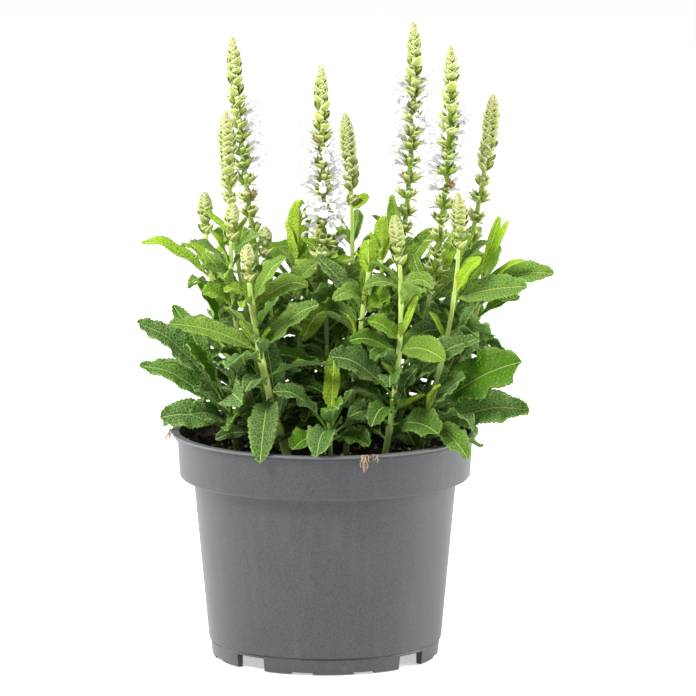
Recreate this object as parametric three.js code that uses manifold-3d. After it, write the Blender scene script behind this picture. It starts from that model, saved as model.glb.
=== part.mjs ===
// A white-flowered perennial salvia in a round nursery pot: pot, potting soil, leafy stems and flower spikes.
// Millimetres, +Z up, seen from the front along +Y. The plan is laid out about the pot's axis.
import * as THREE from 'three';
import { mergeVertices } from 'three/addons/utils/BufferGeometryUtils.js';
import Module from 'manifold-3d';

const wasm = await Module();
wasm.setup();

// ---- driving dimensions -------------------------------------------------------------------------------------
const POT_HEIGHT = 125.5;
const LIP_RADIUS = 85; // a 17 cm pot
const BAND_TOP_RADIUS = 81.6;
const BAND_BOTTOM_RADIUS = 80.4;
const BAND_HEIGHT = 25.5;
const BODY_TOP_RADIUS = 73;
const BODY_BOTTOM_RADIUS = 64.4;
const FOOT_RADIUS = 63.5;
const FOOT_HEIGHT = 9;
const FOOT_WALL = 4.5;
const WALL = 1.2;
const LIP_THICKNESS = 1.6;
const POT_SIDES = 34;
const POT_TURN = 4.3; // degrees the foot's notches are turned round the axis
const NOTCH = { width: 17, height: 7.5, angles: [45, 135, 225, 315] };
const STEP_CUT = { width: 11, height: 1.2, angles: [16, 74, 106, 164, 196, 254, 286, 344] };
const DRAIN = { length: 12, width: 6 };

const PLANT_MIDDLE = 12; // from the pot's axis to the middle of the foliage

const SOIL_LEVEL = 116;
const SOIL_SIDES = 22;
const SOIL_BUMP = 1.6;
const STEM_DEPTH = 12; // how far each stem goes into the soil
const GAP = 0.35; // between neighbours that touch

const STEM_BASE_RADIUS = 2.4;
const STEM_TOP_RADIUS = 1.5;
const BLADE_THICKNESS = 1.4; // at the midrib
const BLADE_FOLD = 0.28; // how far the edges stand over the midrib, for each unit of half width
const RACHIS_RADIUS = 1.3;

const POT_AXIS = [-13.5, -5.4]; // the pot's axis, from the middle of the whole plant's footprint

// ---- the plan: [name, foot x y, halfway x y z, tip x y z, spike length, kind of head] -----------------------
const SHOOTS = [
  ['a', -14, 16, -38, 27, 218, -51, 31, 337, 112, 'open'],
  ['b', -22, -8, -46, -14, 210, -54, -15, 304, 52, 'budded'],
  ['c', -32, 2, -58, 2, 184, -66, 2, 257, 22, 'bud'],
  ['d', -28, -18, -48, -23, 184, -50, -25, 255, 20, 'bud'],
  ['e', 3, -10, 0, -10, 222, -2, -8, 328, 122, 'open'],
  ['f', 8, 24, 15, 38, 204, 11, 44, 295, 50, 'budded'],
  ['g', 20, 12, 43, 18, 228, 49, 20, 349, 118, 'open'],
  ['h', 32, -8, 61, -10, 222, 69, -8, 339, 136, 'open'],
  ['i', 40, 16, 76, 23, 208, 93, 26, 308, 84, 'budded'],
  ['j', 44, -18, 68, -22, 186, 73, -22, 260, 30, 'bud'],
  ['k', 30, -36, 41, -38, 182, 38, -38, 250, 26, 'bud'],
  ['l', 10, -26, 18, -28, 174, 24, -28, 218, 0, 'leaves'],
  ['m', 18, -6, 29, -10, 174, 31, -10, 222, 0, 'leaves'],
  ['n', -8, 4, -14, 0, 174, -15, -2, 221, 0, 'leaves'],
  ['o', -16, -36, -35, -43, 174, -42, -45, 235, 20, 'bud'],
  ['p', -16, -4, -28, -12, 180, -33, -13, 240, 16, 'bud'],
  ['q', 50, 2, 77, 0, 170, 87, -2, 212, 0, 'leaves'],
  ['r', -4, 32, -8, 48, 160, -12, 54, 190, 0, 'leaves'],
  ['s', 34, 30, 46, 46, 158, 52, 54, 188, 0, 'leaves'],
  ['t', -36, 26, -50, 42, 154, -58, 50, 180, 0, 'leaves'],
];

// short leafy stems with no flower: [name, foot x y, top x y z]
const TUFTS = [
  ['left', -46, -12, -54, -16, 144],
  ['front', 3, -48, 3, -50, 136],
  ['right', 50, -26, 56, -32, 140],
  ['back_left', -30, 46, -36, 54, 146],
  ['back_right', 16, 48, 20, 56, 144],
  ['back', 58, 22, 64, 28, 140],
];

// leaves set one by one: [stem, height on it, tip x y z, arch, width, roll in degrees]
const LEAVES = [
  ['a', 204, -60, 10, 236, 6, 12, -60],
  ['b', 204, -36, -34, 238, 4, 13, 60],
  ['c', 210, -99, -6, 235, 6, 9, -40],
  ['c', 174, -68, -22, 211, 3, 13, -70],
  ['d', 220, -62, -30, 242, 3, 6, -40],
  ['d', 220, -31, -34, 242, 5, 10, 50],
  ['d', 196, -66, -36, 208, 8, 13, -40],
  ['left', 144, -99, -32, 194, 6, 17, -55],
  ['left', 140, -83, -2, 197, 4, 12, -50],
  ['left', 140, -75, -50, 182, 6, 14, -60],
  ['left', 136, -97, -18, 161, 12, 15, -55],
  ['left', 136, -88, -40, 176, 5, 12, -60],
  ['left', 130, -90, -26, 138, 6, 17, -60],
  ['left', 130, -72, -56, 145, 6, 17, -50],
  ['o', 176, -85, -52, 193, 8, 13, -50],
  ['o', 176, -5, -56, 206, 6, 14, 55],
  ['o', 150, -35, -84, 122, 18, 17, 5],
  ['o', 204, -55, -50, 211, 8, 8, -40],
  ['o', 202, -27, -56, 234, 4, 12, 70],
  ['p', 190, -4, -24, 225, 4, 14, 55],
  ['p', 190, -40, -26, 205, 4, 9, -50],
  ['e', 194, -12, -26, 180, 8, 12, -40],
  ['e', 194, 15, -26, 189, 6, 11, 40],
  ['l', 197, -4, -38, 229, 2, 12, -65],
  ['l', 196, 38, -38, 206, 4, 13, 55],
  ['k', 210, 22, -44, 212, 8, 9, -40],
  ['k', 210, 60, -44, 212, 10, 10, 40],
  ['k', 176, 65, -64, 175, 8, 16, 50],
  ['k', 182, 23, -50, 196, 3, 13, -60],
  ['k', 150, 5, -62, 179, 8, 18, -60],
  ['k', 152, 79, -54, 188, 4, 16, 55],
  ['j', 201, 111, -28, 209, 6, 16, 55],
  ['j', 204, 84, -32, 227, 3, 9, 70],
  ['q', 201, 126, -8, 214, 10, 14, 50],
  ['i', 188, 106, 30, 202, 6, 13, 30],
  ['right', 136, 106, -50, 176, 6, 21, 60],
  ['right', 130, 110, -44, 148, 6, 20, 60],
  ['right', 140, 77, -66, 166, 6, 14, 60],
  ['right', 130, 77, -69, 115, 16, 15, 20],
  ['k', 134, 14, -70, 146, 10, 14, -40],
  ['k', 130, 63, -67, 136, 8, 16, 35],
  ['front', 132, -27, -62, 160, 12, 14, -40],
  ['front', 134, 5, -45, 177, 1, 10, 0],
  ['front', 128, -18, -71, 128, 8, 17, -20],
  ['front', 128, 24, -73, 129, 8, 15, 20],
  ['o', 132, -32, -39, 184, 2, 15, -80],
  ['n', 136, -24, -14, 180, 3, 14, -75],
  ['e', 134, 15, -22, 176, 3, 14, 75],
  ['k', 132, 50, -44, 170, 3, 13, 70],
  ['p', 134, -48, -8, 176, 3, 14, -75],
  ['m', 134, 36, -12, 176, 3, 13, 75],
];

// pairs of leaves up each stem: where nothing is set by hand, they follow this rule
const PAIR_SPACING = 30;
const PAIR_FIRST = 132;
const PAIR_LAST = 206;
const LEAF_LONG = 50;
const LEAF_SHORT = 28;
const LEAF_SHAPE = 0.31; // width over length
const TUFT_LEAVES = 5;

// ---- small tools --------------------------------------------------------------------------------------------
const V = (x, y, z) => new THREE.Vector3(x, y, z);
const UP = V(0, 0, 1);
const rad = THREE.MathUtils.degToRad;
const lerp = THREE.MathUtils.lerp;

// a repeatable draw between 0 and 1 for the whole number n
function draw(n) {
  const wave = Math.sin(n * 12.9898) * 43758.5453;
  return wave - Math.floor(wave);
}

// a closed surface through rings of points that all have as many points; the last may be a single tip
function skin(rings) {
  const around = rings[0].length;
  const faces = [];
  for (let i = 0; i + 1 < rings.length; i++) {
    const low = i * around;
    const high = low + around;
    for (let k = 0; k < around; k++) {
      const next = (k + 1) % around;
      if (rings[i + 1].length === 1) {
        faces.push(low + k, low + next, high);
      } else if (k < around / 2) {
        faces.push(low + k, low + next, high + next, low + k, high + next, high + k);
      } else {
        faces.push(low + k, low + next, high + k, low + next, high + next, high + k);
      }
    }
  }
  for (let k = 1; k + 1 < around; k++) faces.push(0, k + 1, k);
  const top = (rings.length - 1) * around;
  if (rings.at(-1).length > 1) {
    for (let k = 1; k + 1 < around; k++) faces.push(top, top + k, top + k + 1);
  }
  const geometry = new THREE.BufferGeometry().setFromPoints(rings.flat());
  geometry.setIndex(faces);
  return geometry;
}

function solid(geometry) {
  const bare = geometry.clone();
  bare.deleteAttribute('normal');
  bare.deleteAttribute('uv');
  const merged = mergeVertices(bare, 1e-4);
  const vertProperties = merged.attributes.position.array;
  return new wasm.Manifold(new wasm.Mesh({ numProp: 3, vertProperties, triVerts: new Uint32Array(merged.index.array) }));
}

function geometryOf(manifold) {
  const mesh = manifold.getMesh();
  const geometry = new THREE.BufferGeometry();
  geometry.setAttribute('position', new THREE.BufferAttribute(new Float32Array(mesh.vertProperties), 3));
  geometry.setIndex(new THREE.BufferAttribute(new Uint32Array(mesh.triVerts), 1));
  return geometry;
}

// joins solids and keeps the largest body, so that no loose scrap is left
function fuse(geometries) {
  const joined = wasm.Manifold.union(geometries.map(solid));
  return geometryOf(joined.decompose().sort((a, b) => b.volume() - a.volume())[0]);
}

function cut(geometry, tools) {
  return geometryOf(solid(geometry).subtract(wasm.Manifold.union(tools.map(solid))));
}

// ---- pot ----------------------------------------------------------------------------------------------------
function ringSector(angle, width, inner, outer, low, high) {
  const box = new THREE.BoxGeometry(outer - inner, 2 * FOOT_RADIUS * Math.tan(rad(width / 2)), high - low);
  box.translate((outer + inner) / 2, 0, (low + high) / 2);
  return box.rotateZ(rad(angle + POT_TURN - 90));
}

function potGeometry() {
  const bandBottom = POT_HEIGHT - BAND_HEIGHT;
  const footInner = FOOT_RADIUS - FOOT_WALL;
  const profile = [
    [0, FOOT_HEIGHT - 1], [footInner, FOOT_HEIGHT - 1], [footInner, 0], [FOOT_RADIUS - 1, 0],
    [FOOT_RADIUS, FOOT_HEIGHT], [BODY_BOTTOM_RADIUS, FOOT_HEIGHT + 0.5],
    [BODY_TOP_RADIUS, bandBottom], [BAND_BOTTOM_RADIUS - 0.8, bandBottom],
    [BAND_BOTTOM_RADIUS, bandBottom + 2],
    [BAND_TOP_RADIUS, POT_HEIGHT - LIP_THICKNESS - 1.4], [LIP_RADIUS, POT_HEIGHT - LIP_THICKNESS],
    [LIP_RADIUS, POT_HEIGHT], [BAND_TOP_RADIUS - WALL, POT_HEIGHT],
    [BAND_BOTTOM_RADIUS - WALL, bandBottom + WALL], [BODY_TOP_RADIUS - WALL, bandBottom + WALL],
    [BODY_BOTTOM_RADIUS - WALL, FOOT_HEIGHT + WALL], [0, FOOT_HEIGHT + WALL],
  ];
  const turned = new THREE.LatheGeometry(profile.map(([r, z]) => new THREE.Vector2(r, z)), POT_SIDES);
  turned.rotateX(Math.PI / 2);
  const notches = NOTCH.angles.map((a) => ringSector(a, NOTCH.width, footInner - 2, LIP_RADIUS, -1, NOTCH.height));
  const steps = STEP_CUT.angles.map((a) => ringSector(a, STEP_CUT.width, footInner - 2, LIP_RADIUS, -1, STEP_CUT.height));
  const drains = NOTCH.angles.map((a) => {
    const slot = new THREE.BoxGeometry(DRAIN.length, DRAIN.width, 8).translate(footInner - DRAIN.length, 0, FOOT_HEIGHT);
    return slot.rotateZ(rad(a + POT_TURN - 90));
  });
  return cut(turned, [...notches, ...steps, ...drains]);
}

// ---- shoots: the line of each stem and flower spike ---------------------------------------------------------
// a quadratic curve from the foot in the soil, through the halfway point, to the tip
function shootCurve([footX, footY], half, tip) {
  const foot = V(footX, footY, SOIL_LEVEL - STEM_DEPTH);
  const control = half.clone().multiplyScalar(2).addScaledVector(foot, -0.5).addScaledVector(tip, -0.5);
  return new THREE.QuadraticBezierCurve3(foot, control, tip);
}

// how far along the curve it reaches the height z
function atHeight(curve, z) {
  let low = 0;
  let high = 1;
  for (let step = 0; step < 30; step++) {
    const middle = (low + high) / 2;
    if (curve.getPoint(middle).z < z) low = middle;
    else high = middle;
  }
  return (low + high) / 2;
}

function makeShoots() {
  const flowering = SHOOTS.map(([name, fx, fy, hx, hy, hz, tx, ty, tz, spike, kind]) => {
    const curve = shootCurve([fx, fy], V(hx, hy, hz), V(tx, ty, tz));
    return { name, kind, spike, curve, end: atHeight(curve, tz - spike), leaves: [] };
  });
  const tufts = TUFTS.map(([name, fx, fy, tx, ty, tz]) => {
    const half = V(fx, fy, SOIL_LEVEL - STEM_DEPTH).lerp(V(tx, ty, tz), 0.5);
    const curve = shootCurve([fx, fy], half, V(tx, ty, tz));
    return { name, kind: 'tuft', spike: 0, curve, end: 1, leaves: [] };
  });
  return [...flowering, ...tufts];
}

// an even frame across a curve: the tangent and two directions square to it
function frameAt(curve, t) {
  const tangent = curve.getTangent(t).normalize();
  const side = V(1, 0, 0).addScaledVector(tangent, -tangent.x).normalize();
  return { point: curve.getPoint(t), tangent, side, front: tangent.clone().cross(side) };
}

function ringAt(frame, radii, turn = 0) {
  return radii.map((radius, k) => {
    const angle = turn + (k / radii.length) * 2 * Math.PI;
    const out = frame.point.clone().addScaledVector(frame.side, radius * Math.cos(angle));
    return out.addScaledVector(frame.front, radius * Math.sin(angle));
  });
}

// square stem, tapering upwards: its first stretch, through the soil, is straight
const clearOfSoil = (shoot) => atHeight(shoot.curve, SOIL_LEVEL + 7);

function stemRings(shoot, extra, shares) {
  const soilEnd = clearOfSoil(shoot);
  return shares.map((share) => {
    const t = share <= 1 ? soilEnd * share : lerp(soilEnd, shoot.end, share - 1);
    const radius = lerp(STEM_BASE_RADIUS, STEM_TOP_RADIUS, t / shoot.end) + extra;
    return ringAt(frameAt(shoot.curve, t), Array(4).fill(radius), Math.PI / 4);
  });
}

const stemGeometry = (shoot) => skin(stemRings(shoot, 0, shoot.kind === 'tuft' ? [0.02, 1, 2] : [0.02, 1, 1.33, 1.67, 2]));

// ---- leaves -------------------------------------------------------------------------------------------------
// the leaf's line is a quadratic curve from the stem to its tip, lifted by its arch at the middle
function leafCurve(leaf) {
  const middle = leaf.root.clone().lerp(leaf.tip, 0.5).addScaledVector(UP, leaf.arch);
  return new THREE.QuadraticBezierCurve3(leaf.root, middle, leaf.tip);
}

// directions across the blade and out of its face at a point of its line
function bladeFrame(leaf, curve, s) {
  const along = curve.getTangent(s).normalize();
  const across = leaf.tip.clone().sub(leaf.root).cross(UP).negate().normalize();
  across.addScaledVector(along, -across.dot(along)).normalize();
  const out = along.clone().cross(across);
  across.applyAxisAngle(along, leaf.roll);
  out.applyAxisAngle(along, leaf.roll);
  return { point: curve.getPoint(s), across, out };
}

// half the blade's width a share u of the way from the end of its stalk to its tip
const halfWidth = (leaf, u) => (leaf.width / 2) * Math.sin(Math.PI * u ** 0.9) ** 0.6;

function leafGeometry(leaf) {
  const curve = leafCurve(leaf);
  const teeth = leaf.width > 11 ? 5 : 4;
  const stalk = leaf.stalk > 0.15 ? [[0, 0.9], [leaf.stalk, 0.8]] : [[0, 0.9]];
  const blade = [];
  for (let k = 1; k < teeth; k++) {
    const wave = k % 2 ? 1.14 : 0.86;
    blade.push([lerp(leaf.stalk, 1, k / teeth), wave * halfWidth(leaf, k / teeth)]);
  }
  const rings = [...stalk, ...blade].map(([s, half], i) => {
    const { point, across, out } = bladeFrame(leaf, curve, s);
    const lift = BLADE_FOLD * half + (i >= stalk.length ? leaf.wave * (i % 2 ? 1 : -1) : 0);
    const place = (a, o) => point.clone().addScaledVector(across, a).addScaledVector(out, o);
    const thick = BLADE_THICKNESS / 2;
    return [place(half, lift), place(0, thick), place(-half, lift), place(0, -thick)];
  });
  return skin([...rings, [leaf.tip]]);
}

// ---- growing room -------------------------------------------------------------------------------------------
// Every stem, blade and spike is also a row of small balls. A leaf that meets the balls of another shoot, the pot
// or the soil swings round its stem, rises or sinks until it is clear, and one that finds no room isn't grown.
const SWINGS = [0, 8, -8, 16, -16, 26, -26, 36, -36];
const RISES = [0, 7, -7, 15];
const BLADE_BALL = 2.1;
const STALK_BALL = 1.1;
const RIM_ROOM = 2.2;

function bladeBalls(leaf) {
  const curve = leafCurve(leaf);
  const balls = [];
  for (let i = 2; i <= 14; i++) {
    const s = i / 14;
    const frame = bladeFrame(leaf, curve, s);
    if (s < leaf.stalk) {
      balls.push({ at: frame.point, radius: STALK_BALL });
      continue;
    }
    const half = halfWidth(leaf, (s - leaf.stalk) / (1 - leaf.stalk));
    for (const v of [-1, -0.5, 0, 0.5, 1]) {
      const at = frame.point.clone().addScaledVector(frame.across, v * half);
      at.addScaledVector(frame.out, BLADE_FOLD * Math.abs(v) * half);
      balls.push({ at, radius: BLADE_BALL });
    }
  }
  return balls;
}

function stemBalls(shoot) {
  const balls = [];
  for (let i = 0; i <= 60; i++) {
    const t = i / 60;
    const reach = shoot.spike && t > shoot.end ? spikeReach(shoot, t) : lerp(STEM_BASE_RADIUS, STEM_TOP_RADIUS, t);
    balls.push({ at: shoot.curve.getPoint(t), radius: reach + 0.5 });
  }
  return balls;
}

function meetsPot({ at, radius }) {
  const fromAxis = Math.hypot(at.x, at.y);
  if (fromAxis > LIP_RADIUS + radius || at.z > POT_HEIGHT + RIM_ROOM) return false;
  return fromAxis > BAND_TOP_RADIUS - WALL - RIM_ROOM || at.z < SOIL_LEVEL + SOIL_BUMP + radius;
}

function swung(leaf, swing, rise) {
  const reach = leaf.tip.clone().sub(leaf.root).applyAxisAngle(UP, rad(swing));
  const level = reach.clone().setZ(0).normalize();
  reach.applyAxisAngle(V(level.y, -level.x, 0), rad(rise));
  return { ...leaf, tip: leaf.root.clone().add(reach) };
}

function growLeaf(leaf, shoot, grown) {
  const nearRoot = 9;
  const others = grown.filter((ball) => ball.shoot !== shoot || (ball.blade && ball.at.distanceTo(leaf.root) > nearRoot));
  for (const rise of RISES) {
    for (const swing of SWINGS) {
      const tried = swung(leaf, swing, rise);
      const balls = bladeBalls(tried);
      const meets = (ball) => meetsPot(ball) || others.some(
        (other) => other.at.distanceTo(ball.at) < other.radius + ball.radius);
      if (!balls.some(meets)) {
        shoot.leaves.push(tried);
        grown.push(...balls.map((ball) => ({ ...ball, shoot, blade: true })));
        return;
      }
    }
  }
}

// ---- the rule for leaves that aren't set one by one ---------------------------------------------------------
function handSetLeaf([, height, x, y, z, arch, width, roll], shoot) {
  const root = shoot.curve.getPoint(atHeight(shoot.curve, height));
  const stalk = height < 160 ? 0.24 : 0.1;
  return { root, tip: V(x, y, z), arch, width, roll: rad(roll), stalk, wave: 0.8 };
}

// a leaf's face leans outwards from the middle of the plant
function outwardRoll(root, level) {
  const fromMiddle = V(root.x - PLANT_MIDDLE, root.y, 0).normalize();
  return -rad(55) * UP.clone().cross(level).normalize().dot(fromMiddle);
}

function leafByRule(shoot, seed, height, turn, share) {
  const root = shoot.curve.getPoint(atHeight(shoot.curve, height));
  const length = lerp(LEAF_LONG, LEAF_SHORT, share) * (0.85 + 0.3 * draw(seed));
  const rise = rad(lerp(2, 26, share) + 26 * (draw(seed + 1) - 0.5));
  const level = V(Math.cos(turn), Math.sin(turn), 0).multiplyScalar(length * Math.cos(rise));
  const tip = root.clone().add(level).addScaledVector(UP, length * Math.sin(rise));
  return {
    root, tip, arch: 0.28 * length, width: LEAF_SHAPE * length * (0.9 + 0.3 * draw(seed + 2)),
    roll: outwardRoll(root, level) + rad(20 * (draw(seed + 3) - 0.5)), stalk: lerp(0.24, 0.1, share), wave: 0.8,
  };
}

function ruledLeaves(shoot, index) {
  const top = shoot.curve.getPoint(shoot.end).z;
  const leaves = [];
  if (shoot.kind === 'tuft') {
    for (let k = 0; k < TUFT_LEAVES; k++) {
      const turn = k * rad(137.5) + index;
      leaves.push(leafByRule(shoot, 100 * index + 5 * k, top - 3 - 2 * k, turn, 0.1 * (k % 2)));
    }
    return leaves;
  }
  let pair = 0;
  for (let z = PAIR_FIRST + 10 * draw(index); z < Math.min(top - 8, PAIR_LAST); z += PAIR_SPACING) {
    const share = (z - SOIL_LEVEL) / (top - SOIL_LEVEL);
    for (const half of [0, 1]) {
      const seed = 100 * index + 10 * pair + 5 * half;
      const turn = rad(90 * pair + 180 * half + 360 * draw(index + 40) + 24 * (draw(seed + 4) - 0.5));
      leaves.push(leafByRule(shoot, seed, z, turn, share));
    }
    pair++;
  }
  return leaves;
}

const top = (shoot) => shoot.curve.getPoint(1).z;

// upright young leaves that close a stem with no flower yet
function youngLeaves(shoot, index) {
  const root = shoot.curve.getPoint(0.985);
  const count = top(shoot) > 200 ? 4 : 2;
  return Array.from({ length: count }, (_, k) => {
    const turn = rad((360 / count) * k + 60 * index);
    const length = k % 2 ? 22 : 32;
    const lean = k % 2 ? 0.45 : 0.2;
    const tip = V(root.x + lean * length * Math.cos(turn), root.y + lean * length * Math.sin(turn), root.z + length);
    return { root, tip, arch: -1, width: k % 2 ? 8 : 11, roll: 0, stalk: 0.08, wave: 0.2 };
  });
}

// ---- flower spikes ------------------------------------------------------------------------------------------
// Whorls of calyces up the rachis: they overlap like scales in the head, and stand apart below it.
const HEAD = {
  open: { length: 19, radius: 4.9, apart: 5.4, farApart: 9 },
  budded: { length: 34, radius: 6, apart: 8, farApart: 14 },
  bud: { length: 30, radius: 5, apart: 8, farApart: 10 },
};
const SCALE_SPACING = 3.5;
const CALYX_REACH = 6.4;
const CALYX_RISE = 2.6;
const FLORET_REACH = 12;
const BLOOM_FROM = 28;
const BLOOM_TO = 84;

function headRadius(shoot, down) {
  const { length, radius } = HEAD[shoot.kind];
  return radius * Math.sin((Math.PI / 2) * Math.min(1, 1.3 * down / Math.min(length, shoot.spike))) ** 0.75;
}

function spikeReach(shoot, t) {
  const down = shoot.curve.getPoint(1).z - shoot.curve.getPoint(t).z;
  return down > HEAD[shoot.kind].length ? CALYX_REACH : headRadius(shoot, down);
}

// how far below the tip each whorl sits, from the top down
function whorlsOf(shoot) {
  const { length, apart, farApart } = HEAD[shoot.kind];
  const whorls = [];
  let down = 2.2;
  while (down < shoot.spike - 2) {
    const open = down > length;
    whorls.push({ down, open });
    const spacing = open ? lerp(apart, farApart, Math.min(1, (down - length) / 60)) : SCALE_SPACING;
    down += spacing * (1 + 0.14 * (draw(whorls.length) - 0.5));
    if (!open && down > length) down += 1.5;
  }
  return whorls;
}

function spikeGeometry(shoot) {
  const tipZ = shoot.curve.getPoint(1).z;
  const whorls = whorlsOf(shoot);
  const points = shoot.kind === 'open' ? 6 : 8;
  const at = (down) => frameAt(shoot.curve, atHeight(shoot.curve, tipZ - down));
  const even = (down, radius) => ringAt(at(down), Array(points).fill(radius));
  const star = (down, k, tip, valley, rise, spread = 0) => {
    const isTip = (j) => (j + k) % 2 === 0;
    const frame = at(down);
    const reach = (j) => (isTip(j) ? tip + spread * draw(3 * k + j) : valley);
    const ring = ringAt(frame, Array.from({ length: points }, (_, j) => reach(j)));
    return ring.map((point, j) => (isTip(j) ? point.addScaledVector(frame.tangent, rise) : point));
  };
  const rings = [even(shoot.spike - GAP, RACHIS_RADIUS)];
  for (let k = whorls.length - 1; k >= 0; k--) {
    const { down, open } = whorls[k];
    const inBloom = shoot.kind === 'open' && down > BLOOM_FROM && down < BLOOM_TO;
    if (inBloom) {
      // white two-lipped florets: the lower lips' tips, their throats, and the hoods over them
      rings.push(even(down + 2.2, RACHIS_RADIUS * 1.1));
      rings.push(star(down, k, FLORET_REACH - 1.6, 3.6, -1.4, 1.4));
      rings.push(star(down - 0.5, k, CALYX_REACH - 1, 3, 0.6));
      rings.push(star(down - 1, k, FLORET_REACH - 0.6, 2.4, 3.4, 1.2));
      rings.push(even(down - 2, RACHIS_RADIUS));
    } else if (open) {
      rings.push(even(down + 2.2, RACHIS_RADIUS * 1.1));
      rings.push(star(down, k, CALYX_REACH * (0.9 + 0.2 * draw(k + shoot.spike)), 2.9, CALYX_RISE));
      rings.push(even(down - 1, RACHIS_RADIUS));
    } else {
      const reach = headRadius(shoot, down);
      rings.push(star(down, k, reach, 0.7 * reach, 0.9));
    }
  }
  rings.push([shoot.curve.getPoint(1)]);
  return skin(rings);
}

// ---- soil ---------------------------------------------------------------------------------------------------
const soilBump = (x, y) => SOIL_BUMP * (0.6 * Math.sin(x / 7 + 1) * Math.cos(y / 6) + 0.4 * Math.sin((x + y) / 3.7));

function soilGeometry(shoots) {
  const bandBottom = POT_HEIGHT - BAND_HEIGHT;
  const inside = (radius) => (radius - WALL) * Math.cos(Math.PI / POT_SIDES) - GAP;
  const level = (radius, z) => Array.from({ length: SOIL_SIDES }, (_, k) => {
    const angle = (k / SOIL_SIDES) * 2 * Math.PI;
    const [x, y] = [radius * Math.cos(angle), radius * Math.sin(angle)];
    return V(x, y, z === undefined ? SOIL_LEVEL + soilBump(x, y) : z);
  });
  const edge = inside(lerp(BAND_BOTTOM_RADIUS, BAND_TOP_RADIUS, (SOIL_LEVEL - bandBottom) / BAND_HEIGHT));
  const shelf = bandBottom + WALL + GAP;
  const body = skin([
    level(inside(BODY_BOTTOM_RADIUS), FOOT_HEIGHT + WALL + GAP), level(inside(BODY_TOP_RADIUS), shelf),
    level(inside(BAND_BOTTOM_RADIUS), shelf), level(edge - 0.3), level(edge * 0.55),
    [V(0, 0, SOIL_LEVEL)],
  ]);
  return cut(body, shoots.map((shoot) => skin(stemRings(shoot, GAP + 0.1, [0, 1]))));
}

// ---- assembly -----------------------------------------------------------------------------------------------
const finish = (color, roughness) => new THREE.MeshStandardMaterial({ color, roughness, metalness: 0 });
const MATERIALS = {
  pot: finish(0x73777b, 0.5),
  soil: finish(0x241a12, 0.95),
  leaf: finish(0x4f7f35, 0.7),
  young: finish(0x9dbb45, 0.7),
  spike: finish(0xc3d08a, 0.75),
};

const potAndPlant = new THREE.Group();
potAndPlant.position.set(...POT_AXIS, 0);

function add(name, geometry, material) {
  const mesh = new THREE.Mesh(geometry, material);
  mesh.name = name;
  potAndPlant.add(mesh);
}

const shoots = makeShoots();
const grown = shoots.flatMap((shoot) => stemBalls(shoot).map((ball) => ({ ...ball, shoot })));
shoots.forEach((shoot, index) => {
  if (shoot.kind !== 'leaves') return;
  youngLeaves(shoot, index).forEach((leaf) => {
    shoot.leaves.push(leaf);
    grown.push(...bladeBalls(leaf).map((ball) => ({ ...ball, shoot, blade: true })));
  });
});
LEAVES.forEach((row) => {
  const shoot = shoots.find(({ name }) => name === row[0]);
  growLeaf(handSetLeaf(row, shoot), shoot, grown);
});
shoots.forEach((shoot, index) => {
  ruledLeaves(shoot, index).forEach((leaf) => growLeaf(leaf, shoot, grown));
});

add('pot', potGeometry(), MATERIALS.pot);
add('potting_soil', soilGeometry(shoots), MATERIALS.soil);
for (const shoot of shoots) {
  const young = shoot.kind === 'leaves' && top(shoot) > 200;
  const plant = fuse([stemGeometry(shoot), ...shoot.leaves.map(leafGeometry)]);
  const label = shoot.kind === 'tuft' ? 'leafy_tuft_' : shoot.kind === 'leaves' ? 'young_stem_' : 'flowering_stem_';
  add(label + shoot.name, plant, young ? MATERIALS.young : MATERIALS.leaf);
  if (shoot.spike) add('flower_spike_' + shoot.name, spikeGeometry(shoot), MATERIALS.spike);
}

export default potAndPlant;
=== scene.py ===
"""A white-flowered perennial salvia in a round nursery pot: fine leaves, stems, flower spikes, soil and pot.

Lengths are millimetres about the pot's axis, with +Z up and the front towards -Y, until a mesh is made.
"""

import bpy
import numpy as np
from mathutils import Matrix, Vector


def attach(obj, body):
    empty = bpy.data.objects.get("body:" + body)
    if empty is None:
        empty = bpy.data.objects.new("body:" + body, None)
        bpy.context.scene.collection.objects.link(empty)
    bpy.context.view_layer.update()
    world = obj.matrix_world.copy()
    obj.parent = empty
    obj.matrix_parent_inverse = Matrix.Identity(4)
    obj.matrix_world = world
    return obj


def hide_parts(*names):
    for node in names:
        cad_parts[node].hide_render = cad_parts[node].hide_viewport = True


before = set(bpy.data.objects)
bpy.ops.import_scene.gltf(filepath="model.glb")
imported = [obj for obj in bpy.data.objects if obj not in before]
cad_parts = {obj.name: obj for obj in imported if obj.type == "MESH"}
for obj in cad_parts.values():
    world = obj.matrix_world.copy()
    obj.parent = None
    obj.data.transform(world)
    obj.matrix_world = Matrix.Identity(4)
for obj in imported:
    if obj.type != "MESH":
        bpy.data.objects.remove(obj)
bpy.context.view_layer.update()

MM = 0.001
POT_AXIS = np.array([-13.5, -5.4, 0.0])
UPWARDS = np.array([0, 0, 1.0])

# ---- sizes of the pot and the soil ------------------------------------------------------------------------
POT_HEIGHT = 125.5
LIP_RADIUS = 85.0
BAND_TOP_RADIUS = 81.6
BAND_BOTTOM_RADIUS = 80.4
BAND_HEIGHT = 25.5
BODY_TOP_RADIUS = 73.0
BODY_BOTTOM_RADIUS = 64.4
FOOT_RADIUS = 63.5
FOOT_HEIGHT = 9.0
FOOT_WALL = 4.5
WALL = 1.2
LIP_THICKNESS = 1.6
CORNER_ROUNDING = 0.7
POT_TURN = 4.3
# the foot's cuts: width and place round the pot in degrees, height in millimetres
NOTCH = dict(width=17, height=7.5, angles=(45, 135, 225, 315))
STEP_CUT = dict(width=11, height=1.2, angles=(16, 74, 106, 164, 196, 254, 286, 344))
DRAIN_WIDTH = 6.0
SOIL_LEVEL = 116.0
SOIL_BUMP = 1.6
SOIL_DEPTH = 12.0
SOIL_CREEP = 1.2
LYING_ROOTS = 90
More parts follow.
